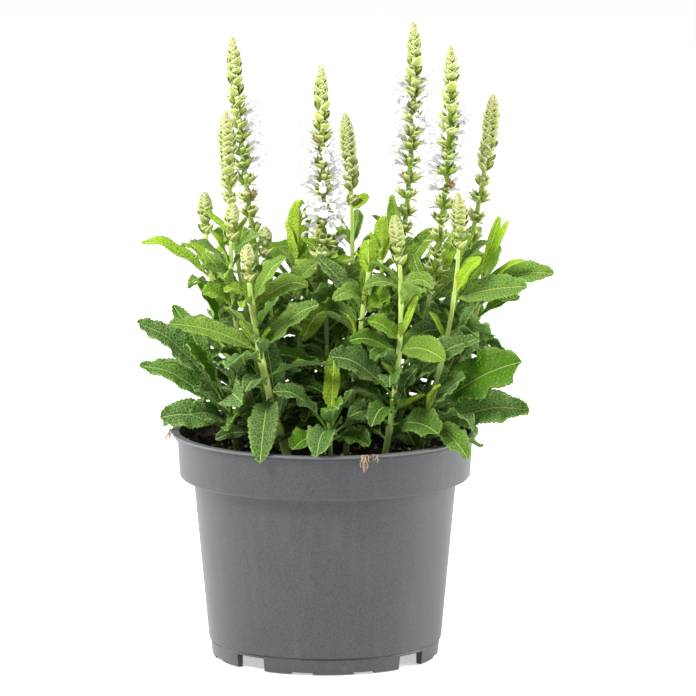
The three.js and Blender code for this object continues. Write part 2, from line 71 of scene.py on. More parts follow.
# roots that hang over the lip: how far round from the front in radians, how many, and how far down at most
HANGING_ROOTS = ((0.255, 9, 9), (0.33, 3, 4), (-1.52, 5, 9))
PLANT_MIDDLE = 12.0

# ---- sizes of the plant -----------------------------------------------------------------------------------
STEM_DEPTH = 12.0
STEM_BASE_RADIUS = 2.4
STEM_TOP_RADIUS = 1.5
RACHIS_RADIUS = 1.3
BLADE_FOLD = 0.28
RIB_WIDTH = 0.7
COMMON_WIDTH = 13.0
COMMON_WAVE = 0.8
SIDE_VEIN_SPACING = 2.8
SIDE_VEIN_SLANT = 0.75
CELL_WIDTH = 2.3
PAIR_SPACING, PAIR_FIRST, PAIR_LAST = 30.0, 132.0, 206.0
LEAF_LONG, LEAF_SHORT, LEAF_SHAPE, TUFT_LEAVES = 50.0, 28.0, 0.31, 5
BROAD_LEAVES_ON_TUFT = 15
GOLDEN_ANGLE = np.radians(137.5)
# degrees by which a leaf with no room is raised and swung, in the order tried
RISES = (0, 7, -7, 15)
SWINGS = (0, 8, -8, 16, -16, 26, -26, 36, -36)
# how far a leaf's balls stay off the pot, and how near its root it may meet other leaves of its own stem
CLEAR_OF_POT = 2.2
ROOT_REACH = 9.0
# how far past a leaf's own reach others are looked for, and a little over the radii of the two largest balls
LOOK_ROUND = 12.0
TWO_BALLS = 9.0
# each kind of head: its length and greatest radius, and the spacing of the first and last open whorls below
# it; of its scales, how slim they stand, how large and dull they are, and where down the head they loosen
HEAD = {
    "open": dict(length=19, radius=4.9, apart=5.4, far_apart=9, slim=0.88, scale=1.0, dull=0.0),
    "budded": dict(length=34, radius=6, apart=8, far_apart=14,
                   slim=0.84, scale=0.86, dull=0.0, loose_from=0.5),
    "bud": dict(length=30, radius=5, apart=8, far_apart=10,
                slim=0.96, scale=0.76, dull=0.08, loose_from=0.7),
}
SCALE_SPACING = 3.5
CALYX_REACH = 6.4
BRACT_LENGTH = 7.4
# spikes in bloom: how far below the tip the florets begin and end, and the share of them at the front, left,
# right and back
BLOOM = {
    "a": (36, 80, 0.12, 0.3, 1.0, 0.6),
    "e": (40, 92, 0.9, 1.2, 1.4, 0.9),
    "g": (31, 84, 0.16, 1.35, 1.35, 1.0),
    "h": (36, 84, 0.22, 1.35, 1.45, 1.0),
}
FLORET_PLACES = 16
# how tanned the head's bracts are
TAN = {"b": 0.9, "i": 1.2, "e": 0.5, "a": 0.4}
COMMON_TAN = 0.15
# withered brown calyces: how far below the spike's tip, and the way they face in degrees from +X to the back
WITHERED = {"a": ((72, -35), (88, -25)), "e": ((36, -140),), "g": ((88, -165),), "h": ((77, -20),)}
# how far the pairs of bracts are turned round each spike, in degrees, and how far its tip stands above its
# stem's
SPIKE_TURN = {"a": 45, "b": 18, "c": 45, "d": 45, "e": 45, "f": 45, "g": 35,
              "h": 12, "i": 30, "j": 20, "k": 45, "o": 20, "p": 45}
TIP_RISE = {"a": 3.0, "g": 0.4}
COMMON_TIP_RISE = 0.8
# how green and aged the stems and the spikes are, from 0 to 1
STEM_AGE = {"a": 0.55, "e": 0.75, "g": 0.85, "h": 0.9, "b": 0.35, "i": 0.3}
SPIKE_AGE = {"g": 0.3, "h": 0.3, "e": 0.15}
# the spike with larger, closer calyces on its lowest whorls, and where they begin and are full below its tip
BUSHY_SPIKE, BUSHY_FROM, BUSHY_TO = "e", 88, 94
# stouter stems, and stems whose fresh colour starts so many millimetres lower
STOUT = {"o": 1.45, "k": 1.1}
FRESH_BY = {"o": 55, "k": 30, "l": 20, "j": 15}
# stems of bright young leaves
BRIGHT_STEMS = "lmnq"
# the two pairs of leaves at the top of a young stem: turn in degrees, length, lean and width of each pair
TOP_LEAVES = {
    "l": ((-90, 20, 0.16, 10.5), (10, 15, 0.4, 6.5)),
    "m": ((-80, 27, 0.14, 9), (20, 20, 0.4, 7)),
    "n": ((-85, 36, 0.1, 12), (15, 26, 0.3, 9)),
    "q": (),
}

# ---- the plan: name, foot x y, halfway x y z, tip x y z, spike length, kind of head ------------------------
SHOOTS = (
    ("a", -14, 16, -38, 27, 218, -51, 31, 337, 112, "open"),
    ("b", -22, -8, -46, -14, 210, -54, -15, 304, 52, "budded"),
    ("c", -32, 2, -58, 2, 184, -66, 2, 257, 22, "bud"),
    ("d", -28, -18, -48, -23, 184, -50, -25, 255, 20, "bud"),
    ("e", 3, -10, 0, -10, 222, -2, -8, 328, 122, "open"),
    ("f", 8, 24, 15, 38, 204, 11, 44, 295, 50, "budded"),
    ("g", 20, 12, 43, 18, 228, 49, 20, 349, 118, "open"),
    ("h", 32, -8, 61, -10, 222, 69, -8, 339, 136, "open"),
    ("i", 40, 16, 76, 23, 208, 93, 26, 308, 84, "budded"),
    ("j", 44, -18, 68, -22, 186, 73, -22, 260, 30, "bud"),
    ("k", 30, -36, 41, -38, 182, 38, -38, 250, 26, "bud"),
    ("l", 10, -26, 18, -28, 174, 24, -28, 218, 0, "leaves"),
    ("m", 18, -6, 29, -10, 174, 31, -10, 222, 0, "leaves"),
    ("n", -8, 4, -14, 0, 174, -15, -2, 221, 0, "leaves"),
    ("o", -16, -36, -35, -43, 174, -42, -45, 235, 20, "bud"),
    ("p", -16, -4, -28, -12, 180, -33, -13, 240, 16, "bud"),
    ("q", 50, 2, 77, 0, 170, 87, -2, 212, 0, "leaves"),
    ("r", -4, 32, -8, 48, 160, -12, 54, 190, 0, "leaves"),
    ("s", 34, 30, 46, 46, 158, 52, 54, 188, 0, "leaves"),
    ("t", -36, 26, -50, 42, 154, -58, 50, 180, 0, "leaves"),
)
# short leafy stems with no flower: name, foot x y, top x y z
TUFTS = (
    ("left", -46, -12, -54, -16, 144),
    ("front", 3, -48, 3, -50, 136),
    ("right", 50, -26, 56, -32, 140),
    ("back_left", -30, 46, -36, 54, 146),
    ("back_right", 16, 48, 20, 56, 144),
    ("back", 58, 22, 64, 28, 140),
)
# leaves set one by one: stem, height on it, tip x y z, arch, width, roll in degrees, and where given its
# tones: young, own, painted shade, wave
LEAVES = (
    ("a", 204, -60, 10, 236, 6, 12, -60),
    ("b", 204, -36, -34, 238, 4, 13, 60),
    ("c", 210, -99, -6, 235, 6, 9, -40, 0.7, 0.5),
    ("c", 174, -68, -22, 211, 3, 13, -70, 0.45, 0.9),
    ("d", 220, -62, -30, 242, 3, 6, -40, 0.7, 0.5),
    ("d", 220, -31, -34, 242, 5, 10, 50, 0.12, 0.3),
    ("d", 196, -66, -36, 208, 8, 13, -40),
    ("left", 144, -99, -32, 194, 6, 17, -55),
    ("left", 140, -83, -2, 197, 4, 12, -50),
    ("left", 140, -75, -50, 182, 6, 14, -60),
    ("left", 136, -97, -18, 161, 12, 15, -55),
    ("left", 136, -88, -40, 176, 5, 12, -60),
    ("left", 130, -90, -26, 138, 6, 17, -60),
    ("left", 130, -72, -56, 145, 6, 17, -50),
    ("o", 176, -85, -52, 193, 8, 13, -50, 0.25, 0.5),
    ("o", 176, -5, -56, 206, 6, 14, 55, 0.1, 0.5),
    ("o", 150, -35, -84, 122, 18, 17, 5, 0.02, 0.1, 0.5),
    ("o", 204, -55, -50, 211, 8, 8, -40, 0.5, 0.4),
    ("o", 202, -27, -56, 234, 4, 12, 70, 0.2, 0.5),
    ("p", 190, -4, -24, 225, 4, 14, 55, 0.15, 0.5),
    ("p", 190, -40, -26, 205, 4, 9, -50),
    ("e", 194, -12, -26, 180, 8, 12, -40),
    ("e", 194, 15, -26, 189, 6, 11, 40),
    ("l", 197, -4, -38, 229, 2, 12, -65, 0.05, 0.25),
    ("l", 196, 38, -38, 206, 4, 13, 55),
    ("k", 210, 22, -44, 212, 8, 9, -40, 0.15, 0.3),
    ("k", 210, 60, -44, 212, 10, 10, 40, 0.25, 0.4),
    ("k", 176, 65, -64, 175, 8, 16, 50, 0.3, 0.3),
    ("k", 182, 23, -50, 196, 3, 13, -60),
    ("k", 150, 5, -62, 179, 8, 18, -60, 0.02, 0.15),
    ("k", 152, 79, -54, 188, 4, 16, 55, 0.02, 0.25),
    ("j", 201, 111, -28, 209, 6, 16, 55, 0.12, 0.35),
    ("j", 204, 84, -32, 227, 3, 9, 70, 0.9, 0.9),
    ("q", 201, 126, -8, 214, 10, 14, 50, 0.2, 0.4),
    ("i", 188, 106, 30, 202, 6, 13, 30),
    ("right", 139, 107, -54, 173, 9, 27, 62, 0.02, 0.85, 0.5, 1.3),
    ("right", 130, 110, -44, 148, 6, 20, 60, 0.02, 0.3, 0.2, 1.1),
    ("right", 140, 77, -66, 166, 6, 14, 60),
    ("right", 130, 77, -69, 115, 16, 15, 20, 0.05, 0.65),
    ("k", 134, 14, -70, 146, 10, 14, -40, 0.02, 0.1),
    ("k", 134, 62, -69, 136, 8, 20, 35, 0.02, 0.7, 0.5),
    ("front", 132, -27, -62, 160, 12, 14, -40),
    ("front", 134, 5, -45, 177, 1, 10, 0, 0.5, 0.9),
    ("front", 128, -18, -71, 128, 8, 17, -20),
    ("front", 128, 24, -73, 129, 8, 15, 20, 0.02, 0.75),
    ("o", 132, -32, -39, 184, 2, 15, -80),
    ("n", 136, -24, -14, 180, 3, 14, -75),
    ("e", 134, 15, -22, 176, 3, 14, 75),
    ("k", 132, 50, -44, 170, 3, 13, 70),
    ("p", 134, -48, -8, 176, 3, 14, -75),
    ("m", 134, 36, -12, 176, 3, 13, 75),
    ("e", 214, 15, -13, 224, 2, 7, 55, 0.6, 0.6),
    ("e", 213, -16, -15, 221, 2, 7, -55, 0.6, 0.6),
    ("e", 226, 12, -8, 238, 1, 6, 60, 0.7, 0.6),
    ("e", 225, -13, -14, 235, 1, 5, -60, 0.6, 0.6),
    ("e", 220, 7, -22, 226, 2, 5, 30, 0.6, 0.6),
    ("e", 219, -8, -23, 224, 2, 5, -30, 0.6, 0.6),
    ("e", 218, 13, -2, 232, 2, 7, 60, 0.6, 0.7),
    ("f", 222, 3, 34, 240, 2, 8, -65, 0.5, 0.6),
    ("i", 196, 91, 18, 219, 3, 9, 70, 0.5, 0.4),
    ("h", 198, 78, 6, 214, 3, 12, 60, 0.3, 0.5),
    ("h", 200, 55, 4, 224, 2, 9, -65, 0.3, 0.6),
    ("g", 196, 56, 24, 214, 3, 12, 60, 0.2, 0.4),
    ("e", 200, -6, -2, 212, 2, 9, -60, 0.2, 0.5),
    ("b", 196, -66, -8, 226, 3, 10, -60, 0.3, 0.3),
    ("e", 200, -24, 2, 222, 3, 11, -60, 0.2, 0.4),
    ("f", 212, 27, 30, 238, 3, 13, 60, 0.3, 0.8),
    ("g", 222, 36, 8, 256, 2, 9, 70, 0.7, 0.8),
    ("h", 205, 75, -2, 240, 2, 9, 75, 0.8, 0.7),
    ("i", 206, 88, 20, 234, 2, 10, 70, 0.4, 0.3),
    ("g", 206, 58, 28, 236, 3, 11, 60, 0.35, 0.6),
    ("g", 200, 27, 24, 230, 3, 12, -60, 0.3, 0.7),
    ("f", 196, 26, 34, 218, 3, 12, 60),
    ("f", 194, 2, 40, 218, 3, 12, -60),
    ("i", 172, 93, 26, 192, 4, 16, 60),
    ("i", 160, 88, 30, 176, 4, 18, 60),
    ("s", 165, 74, 50, 182, 4, 16, 60),
    ("back", 138, 80, 30, 168, 4, 18, 60),
    ("back", 138, 62, 40, 172, 4, 18, -60),
    ("back", 134, 95, 22, 160, 4, 18, 60),
    ("f", 180, -8, 46, 198, 4, 15, -60),
    ("f", 186, 36, 50, 200, 4, 15, 60),
    ("s", 172, 26, 58, 190, 4, 16, -60),
    ("i", 178, 52, 36, 192, 4, 15, -60),
    ("r", 174, 14, 64, 190, 4, 16, 60),
    ("r", 170, -34, 58, 186, 4, 16, -60),
)
# small bright leaves of side shoots: stem, height on it, tip x y z, width, roll in degrees
SIDE_SHOOTS = (
    ("k", 182, 51, -41, 207, 5, 70),
    ("k", 182, 46, -36, 205, 4, -70),
    ("k", 142, 54, -43, 153, 4, 60),
    ("k", 160, 32, -43, 171, 6, -70),
    ("o", 178, -47, -47, 194, 5, -60),
    ("o", 178, -29, -48, 191, 5, 60),
    ("q", 211, 96, 0, 245, 6, 80),
    ("q", 211, 101, -12, 244, 6, 75),
    ("q", 206, 110, -8, 224, 5.5, 45),
    ("q", 190, 71, -6, 212, 5, -60),
    ("right", 138, 68, -50, 162, 6, 50),
    ("c", 211, -70, 0, 224, 4, -50),
    ("c", 211, -55, 2, 222, 4, 50),
    ("l", 178, 12, -32, 196, 5, -60),
    ("f", 243, 25, 36, 250, 8, 60),
    ("b", 236, -42, -18, 246, 4, 60),
    ("b", 236, -66, -16, 250, 4, -60),
    ("j", 178, 58, -26, 196, 5, -60),
)


# ---- small tools ------------------------------------------------------------------------------------------
def draw(n):
    """A repeatable draw between 0 and 1 for each number n: the fraction of 43758.5453 sin(12.9898 n)."""
    wave = np.sin(np.asarray(n, float) * 12.9898) * 43758.5453
    return wave - np.floor(wave)


def lerp(a, b, share):
    """From a at share 0 to b at share 1: a + (b - a) share."""
    return a + (b - a) * share


def smooth(low, high, x):
    """Rises from 0 at low to 1 at high along 3x^2 - 2x^3."""
    share = np.clip((x - low) / (high - low), 0, 1)
    return share * share * (3 - 2 * share)


def unit(vectors):
    """The vectors at length 1."""
    return vectors / np.linalg.norm(vectors, axis=-1, keepdims=True)


def bezier(curve, t):
    """Quadratic curve: (1 - t)^2 start + 2 t (1 - t) bend + t^2 end."""
    t = np.asarray(t, float)[..., None]
    start, bend, end = curve
    return (1 - t) ** 2 * start + 2 * t * (1 - t) * bend + t**2 * end


def heading(curve, t):
    """Unit direction of travel: from the point just before t to the point just after it."""
    t = np.asarray(t, float)
    return unit(bezier(curve, np.minimum(t + 1e-4, 1)) - bezier(curve, np.maximum(t - 1e-4, 0)))


def share_at_height(curve, z):
    """How far along the curve it reaches the height z, by 30 halvings."""
    low, high = np.zeros(np.shape(z)), np.ones(np.shape(z))
    for _ in range(30):
        middle = (low + high) / 2
        below = bezier(curve, middle)[..., 2] < z
        low, high = np.where(below, middle, low), np.where(below, high, middle)
    return (low + high) / 2


def turned(vector, axis, angle):
    """The vector turned about a unit axis: v cos a + (axis x v) sin a + axis (axis . v)(1 - cos a)."""
    level = vector * np.cos(angle) + np.cross(axis, vector) * np.sin(angle)
    return level + axis * (axis @ vector) * (1 - np.cos(angle))


def ring_angles(around):
    """So many angles, evenly spaced round a full turn."""
    return np.arange(around) / around * 2 * np.pi


# ---- shoots and leaves ------------------------------------------------------------------------------------
class Shoot:
    """A stem on a quadratic line from its foot in the soil to its tip, with the leaves that grow on it. Its
    kind is that of its head, or leaves or tuft, and spike is the length of the flower spike that ends it."""

    def __init__(self, name, kind, spike, foot, half, tip):
        foot = np.array([*foot, SOIL_LEVEL - STEM_DEPTH], float)
        tip = np.array(tip, float)
        half = (foot + tip) / 2 if half is None else np.array(half, float)
        self.name, self.kind, self.spike, self.leaves = name, kind, spike, []
        self.curve = (foot, 2 * half - 0.5 * foot - 0.5 * tip, tip)
        self.end = share_at_height(self.curve, tip[2] - spike) if spike else 1.0
        self.top = bezier(self.curve, self.end)[2]

    def at_height(self, z):
        """The point of the stem's line at the height z."""
        return bezier(self.curve, share_at_height(self.curve, z))


class Leaf:
    """A blade width wide on a quadratic line from root to tip, lifted by arch at its middle, and rolled."""

    def __init__(self, root, tip, arch, width, roll, stalk, wave, young=0.0):
        self.root, self.tip = np.array(root, float), np.array(tip, float)
        self.arch, self.width, self.roll = arch, width, roll
        self.stalk, self.wave, self.young = stalk, wave, young
        self.small, self.twist, self.own, self.deep = False, 0.0, None, 0.0

    @property
    def curve(self):
        """The line's start, bend and end."""
        return self.root, (self.root + self.tip) / 2 + np.array([0, 0, self.arch]), self.tip

    def frame(self, s):
        """Points of the line, and the rolled directions across the blade and out of its face."""
        along = heading(self.curve, s)
        reach = self.tip - self.root
        across = unit(np.array([-reach[1], reach[0], 0.0]))
        across = unit(across - along * (along @ across)[:, None])
        out = np.cross(along, across)
        roll = self.roll + self.twist * (s - 0.5)
        cos, sin = np.cos(roll)[:, None], np.sin(roll)[:, None]
        return bezier(self.curve, s), across * cos + out * sin, out * cos - across * sin

    def half_width(self, u):
        """Half the width times sin(pi u^0.9)^0.6 at a share u of the blade, or ^0.45 on the youngest."""
        power = 0.6 if self.young < 0.9 else 0.45
        return self.width / 2 * np.sin(np.pi * np.clip(u, 0, 1) ** 0.9).clip(0) ** power

    def balls(self, thick=2.1):
        """The blade as a row of balls: one on the stalk, and five across the blade, at each of 13 places."""
        s = np.arange(2, 15) / 14
        point, across, out = self.frame(s)
        on_stalk = s < self.stalk
        half = self.half_width((s - self.stalk) / (1 - self.stalk))[~on_stalk, None, None]
        v = np.array([-1, -0.5, 0, 0.5, 1])[None, :, None]
        blade = point[~on_stalk, None] + across[~on_stalk, None] * v * half
        blade = blade + out[~on_stalk, None] * BLADE_FOLD * abs(v) * half
        at = np.concatenate([point[on_stalk], blade.reshape(-1, 3)])
        return at, np.where(np.arange(len(at)) < on_stalk.sum(), 1.1, thick)

    def swung(self, swing, rise):
        """The leaf turned about the vertical by swing and raised by rise, in degrees, about its root."""
        reach = turned(self.tip - self.root, UPWARDS, np.radians(swing))
        level = unit(reach * [1, 1, 0])
        reach = turned(reach, np.array([level[1], -level[0], 0]), np.radians(rise))
        leaf = Leaf(self.root, self.root + reach, self.arch, self.width,
                    self.roll, self.stalk, self.wave, self.young)
        leaf.small, leaf.own, leaf.deep = self.small, self.own, self.deep
        return leaf


def head_radius(shoot, down):
    """The greatest radius times sin(quarter turn x 1.3 down / length)^0.75, so far down from the tip."""
    head = HEAD[shoot.kind]
    share = np.minimum(1, 1.3 * down / min(head["length"], shoot.spike))
    return head["radius"] * np.sin(np.pi / 2 * share).clip(0) ** 0.75


def scale_radius(shoot, down):
    """Where the scales stand: as head_radius, but in bud it is sin(quarter turn x 2.3 down / length)^0.6."""
    if shoot.kind == "open":
        return head_radius(shoot, down)
    head = HEAD[shoot.kind]
    share = np.minimum(1, 2.3 * down / min(head["length"], shoot.spike))
    return head["radius"] * np.sin(np.pi / 2 * share).clip(0) ** 0.6


class Room:
    """What is already grown, as balls. A new leaf swings and rises until it is clear of shoots and leaves."""

    def __init__(self, shoots):
        t = np.arange(61) / 60
        self.count, most = 0, 60000
        self.at, self.radius = np.zeros((most, 3)), np.zeros(most)
        self.owner, self.blade = np.zeros(most, int), np.zeros(most, bool)
        for index, shoot in enumerate(shoots):
            reach = lerp(STEM_BASE_RADIUS, STEM_TOP_RADIUS, t)
            at = bezier(shoot.curve, t)
            if shoot.spike:
                down = shoot.curve[2][2] - at[:, 2]
                in_head = down <= HEAD[shoot.kind]["length"]
                on_spike = np.where(in_head, head_radius(shoot, down), CALYX_REACH)
                reach = np.where(t > shoot.end, on_spike, reach)
            self.take(index, at, reach + 0.5, False)

    def take(self, index, at, radius, blade):
        """Takes up balls of the shoot of that index. blade tells whether they are a leaf's."""
        new = slice(self.count, self.count + len(at))
        self.at[new], self.radius[new], self.owner[new], self.blade[new] = at, radius, index, blade
        self.count += len(at)

    @staticmethod
    def meets_pot(at, radius):
        """Whether any ball meets the pot's wall or rim, or the soil."""
        from_axis = np.hypot(at[:, 0], at[:, 1])
        outside = (from_axis > LIP_RADIUS + radius) | (at[:, 2] > POT_HEIGHT + CLEAR_OF_POT)
        near_wall = from_axis > BAND_TOP_RADIUS - WALL - CLEAR_OF_POT
        in_soil = at[:, 2] < SOIL_LEVEL + SOIL_BUMP + radius
        return bool(np.any(~outside & (near_wall | in_soil)))

    def grow(self, leaf, shoots, index, thick=2.1, rises=RISES, swings=SWINGS):
        """The leaf as it found room, added to its shoot, or None."""
        at, radius = self.at[:self.count], self.radius[:self.count]
        from_root = np.linalg.norm(at - leaf.root, axis=1)
        reach = np.linalg.norm(leaf.tip - leaf.root) + leaf.arch + leaf.width + LOOK_ROUND
        in_the_way = (self.owner[:self.count] != index) | (self.blade[:self.count] & (from_root > ROOT_REACH))
        near = in_the_way & (from_root < reach)
        at, radius = at[near], radius[near]
        for rise in rises:
            for swing in swings:
                tried = leaf.swung(swing, rise)
                new_at, new_radius = tried.balls(thick)
                if self.meets_pot(new_at, new_radius):
                    continue
                low, high = new_at.min(0) - TWO_BALLS, new_at.max(0) + TWO_BALLS
                near = np.all((at > low) & (at < high), axis=1)
                gap = sum((new_at[:, None, k] - at[near][None, :, k]) ** 2 for k in range(3))
                if np.any(gap < (new_radius[:, None] + radius[near][None]) ** 2):
                    continue
                shoots[index].leaves.append(tried)
                self.take(index, new_at, new_radius, True)
                return tried
        return None


def ruled_leaf(shoot, seed, height, turn, share):
    """A leaf by rule: its length, rise and width follow its share of the stem, with seeded draws."""
    root = shoot.at_height(height)
    length = lerp(LEAF_LONG, LEAF_SHORT, share) * (0.85 + 0.3 * draw(seed))
    rise = np.radians(lerp(2, 26, share) + 26 * (draw(seed + 1) - 0.5))
    level = np.array([np.cos(turn), np.sin(turn), 0]) * length * np.cos(rise)
    tip = root + level + np.array([0, 0, length * np.sin(rise)])
    from_middle = unit(np.array([root[0] - PLANT_MIDDLE, root[1], 0]))
    lean = -np.radians(55) * (unit(np.array([-level[1], level[0], 0])) @ from_middle)
    width = LEAF_SHAPE * length * (0.9 + 0.3 * draw(seed + 2))
    roll = lean + np.radians(20 * (draw(seed + 3) - 0.5))
    leaf = Leaf(root, tip, 0.28 * length, width, roll, lerp(0.24, 0.1, share), COMMON_WAVE)
    leaf.deep = shade_at(leaf)
    return leaf


def shade_at(leaf):
    """How deep in the plant a leaf grows, for its painted shade: 1 near its middle and the soil, and near 0
    outside or high up.
    """
    middle = (leaf.root + leaf.tip) / 2
    from_middle = np.hypot(middle[0] - PLANT_MIDDLE, middle[1])
    return float((1 - smooth(46, 96, from_middle)) * (1 - 0.9 * smooth(150, 215, middle[2])))


def unwanted(leaf, seed):
    """Whether a leaf by rule would stand before spike h's lower whorls, or crowd the open left side."""
    x, y, z = bezier(leaf.curve, np.linspace(0.3, 1, 8)).T
    in_front = (x > 50) & (x < 72) & (y < -11) & (z > 188) & (z < 245)
    crowded = leaf.tip[0] < -62 and leaf.tip[1] < 15 and 140 < leaf.tip[2] < 224
    return bool(np.any(in_front)) or (crowded and draw(seed + 0.13) < 0.65)


def grow_top_leaves(shoots, index, room):
    """The one or two pairs of upright leaves that end a young stem."""
    shoot = shoots[index]
    root = bezier(shoot.curve, 0.985)
    pairs = TOP_LEAVES.get(shoot.name, ((60 * index, 32, 0.2, 11),))
    for turn, length, lean, width in pairs:
        for half in (0, 1):
            angle = np.radians(turn + 180 * half)
            way = np.array([lean * np.cos(angle), lean * np.sin(angle), 1])
            tip = root + length * (1 - 0.12 * half) * way
            leaf = Leaf(root, tip, -1, width, 0, 0.08, 0.2, young=1.0 if len(pairs) == 2 else 0.5)
            shoot.leaves.append(leaf)
            room.take(index, *leaf.balls(), True)


def grow_chosen_leaves(shoots, names, room):
    """The leaves set one by one. Their tones are young, own, painted shade and wave, as far as given."""
    for name, height, x, y, z, arch, width, roll, *tones in LEAVES:
        index = names.index(name)
        stalk = 0.24 if height < 160 else 0.1
        root = shoots[index].at_height(height)
        leaf = Leaf(root, (x, y, z), arch, width, np.radians(roll), stalk, COMMON_WAVE)
        leaf.young, leaf.own = tones[:2] or (0.0, None)
        leaf.deep = tones[2] if len(tones) > 2 else 0.75 * shade_at(leaf)
        leaf.wave = tones[3] if len(tones) > 3 else COMMON_WAVE
        room.grow(leaf, shoots, index)


def grow_tuft(shoots, index, room):
    """A tuft's leaves, from its top down, each a golden angle round from the last."""
    shoot = shoots[index]
    for k in range(TUFT_LEAVES):
        turn = k * GOLDEN_ANGLE + index
        leaf = ruled_leaf(shoot, 100 * index + 5 * k, shoot.top - 3 - 2 * k, turn, 0.1 * (k % 2))
        room.grow(leaf, shoots, index)


def grow_pairs(shoots, index, room):
    """Pairs of leaves up a stem, each pair a quarter turn round from the last."""
    shoot = shoots[index]
    pair, z = 0, PAIR_FIRST + 10 * draw(index)
    while z < min(shoot.top - 8, PAIR_LAST):
        share = (z - SOIL_LEVEL) / (shoot.top - SOIL_LEVEL)
        for half in (0, 1):
            seed = 100 * index + 10 * pair + 5 * half
            stray = 24 * (draw(seed + 4) - 0.5)
            turn = np.radians(90 * pair + 180 * half + 360 * draw(index + 40) + stray)
            leaf = ruled_leaf(shoot, seed, z, turn, share)
            if not unwanted(leaf, seed):
                room.grow(leaf, shoots, index)
        pair, z = pair + 1, z + PAIR_SPACING


def grow_side_shoots(shoots, names, room):
    """The small bright leaves of the side shoots."""
    for name, height, x, y, z, width, roll in SIDE_SHOOTS:
        index = names.index(name)
        root = shoots[index].at_height(height)
        leaf = Leaf(root, (x, y, z), 1, width, np.radians(roll), 0.1, 0.3, 0.9)
        leaf.small = True
        room.grow(leaf, shoots, index, 0.6, (0, 8), (0, 12, -12, 24, -24))


def grow_axil_leaves(shoots, index, room):
    """One small fresh leaf in the axil of every grown leaf, and two in three out of ten."""
    shoot = shoots[index]
    for k, host in enumerate(list(shoot.leaves)):
        seed = 7000 + 40 * index + 3 * k
        if host.young or host.root[2] < 128:
            continue
        way = unit((host.tip - host.root) * [1, 1, 0])
        for j in range(2 if draw(seed + 0.77) < 0.3 else 1):
            length = lerp(9, 21, draw(seed + j)) * (1.0 if j == 0 else 0.7)
            side = turned(way, UPWARDS, (draw(seed + 0.3 + j) - 0.5) * 1.4)
            lean = lerp(0.25, 0.75, draw(seed + 0.6 + j))
            root = shoot.at_height(host.root[2] + 1.5 + 2 * j)
            tip = root + length * unit(side * lean + [0, 0, 1 - 0.4 * lean])
            leaf = Leaf(root, tip, 0.5, 0.26 * length, 0, 0.12, 0.3, young=0.45 + 0.5 * draw(seed + 0.9))
            leaf.small = True
            room.grow(leaf, shoots, index, 0.9, (0,), (0, 25, -25, 50, -50))


def grow_broad_leaves(shoots, index, room):
    """Broad leaves in a spiral up a stem, closer near the soil. One with no room is tried again, smaller."""
    shoot = shoots[index]
    if shoot.kind == "tuft":
        top, count = shoot.top - 2, BROAD_LEAVES_ON_TUFT
    else:
        top = min(shoot.top - 6, 222)
        spacing = 3.7 if shoot.curve[0][1] > 8 else 4.8
        count = int((top - SOIL_LEVEL) / spacing)
    for k in range(count):
        seed = 9000 + 60 * index + k
        z = lerp(SOIL_LEVEL + 5, top, ((k + draw(seed)) / count) ** 1.25)
        share = (z - SOIL_LEVEL) / 110
        root = shoot.at_height(z)
        turn = GOLDEN_ANGLE * k + 2 * np.pi * draw(index + 0.37)
        length = lerp(52, 26, share) * lerp(0.75, 1.1, draw(seed + 0.2))
        rise = np.radians(lerp(-2, 40, draw(seed + 0.4)) + 14 * share)
        way = np.array([np.cos(turn) * np.cos(rise), np.sin(turn) * np.cos(rise), np.sin(rise)])
        width = lerp(0.26, 0.35, draw(seed + 0.6)) * length
        roll = np.radians(80) * (draw(seed + 0.8) - 0.5)
        stalk = lerp(0.26, 0.12, min(share, 1))
        leaf = Leaf(root, root + way * length, 0.2 * length, width, roll, stalk, COMMON_WAVE)
        leaf.small, leaf.deep = length < 34, shade_at(leaf)
        over_front = leaf.tip[2] < 140 and leaf.tip[1] < -30 and abs(leaf.tip[0]) < 66
        if unwanted(leaf, seed) or over_front:
            continue
        for _ in range(3):
            if room.grow(leaf, shoots, index, 0.9, (0, 12, -10), (0, 16, -16, 34, -34, 55, -55)):
                break
            tip = root + (leaf.tip - root) * 0.72
            arch, width = 0.72 * leaf.arch, 0.78 * leaf.width
            shorter = Leaf(root, tip, arch, width, leaf.roll, leaf.stalk, COMMON_WAVE)
            shorter.small, shorter.deep, leaf = True, leaf.deep, shorter


def grow_plant():
    """The whole plant: young tops, then the leaves set one by one, then leaves by rule where they fit."""
    shoots = [Shoot(name, kind, spike, (fx, fy), (hx, hy, hz), (tx, ty, tz))
              for name, fx, fy, hx, hy, hz, tx, ty, tz, spike, kind in SHOOTS]
    shoots += [Shoot(name, "tuft", 0, (fx, fy), None, (tx, ty, tz)) for name, fx, fy, tx, ty, tz in TUFTS]
    names = [shoot.name for shoot in shoots]
    room = Room(shoots)
    for index, shoot in enumerate(shoots):
        if shoot.kind == "leaves":
            grow_top_leaves(shoots, index, room)
    grow_chosen_leaves(shoots, names, room)
    for index, shoot in enumerate(shoots):
        by_rule = grow_tuft if shoot.kind == "tuft" else grow_pairs
        by_rule(shoots, index, room)
    grow_side_shoots(shoots, names, room)
    for index in range(len(shoots)):
        grow_axil_leaves(shoots, index, room)
        grow_broad_leaves(shoots, index, room)
    return shoots


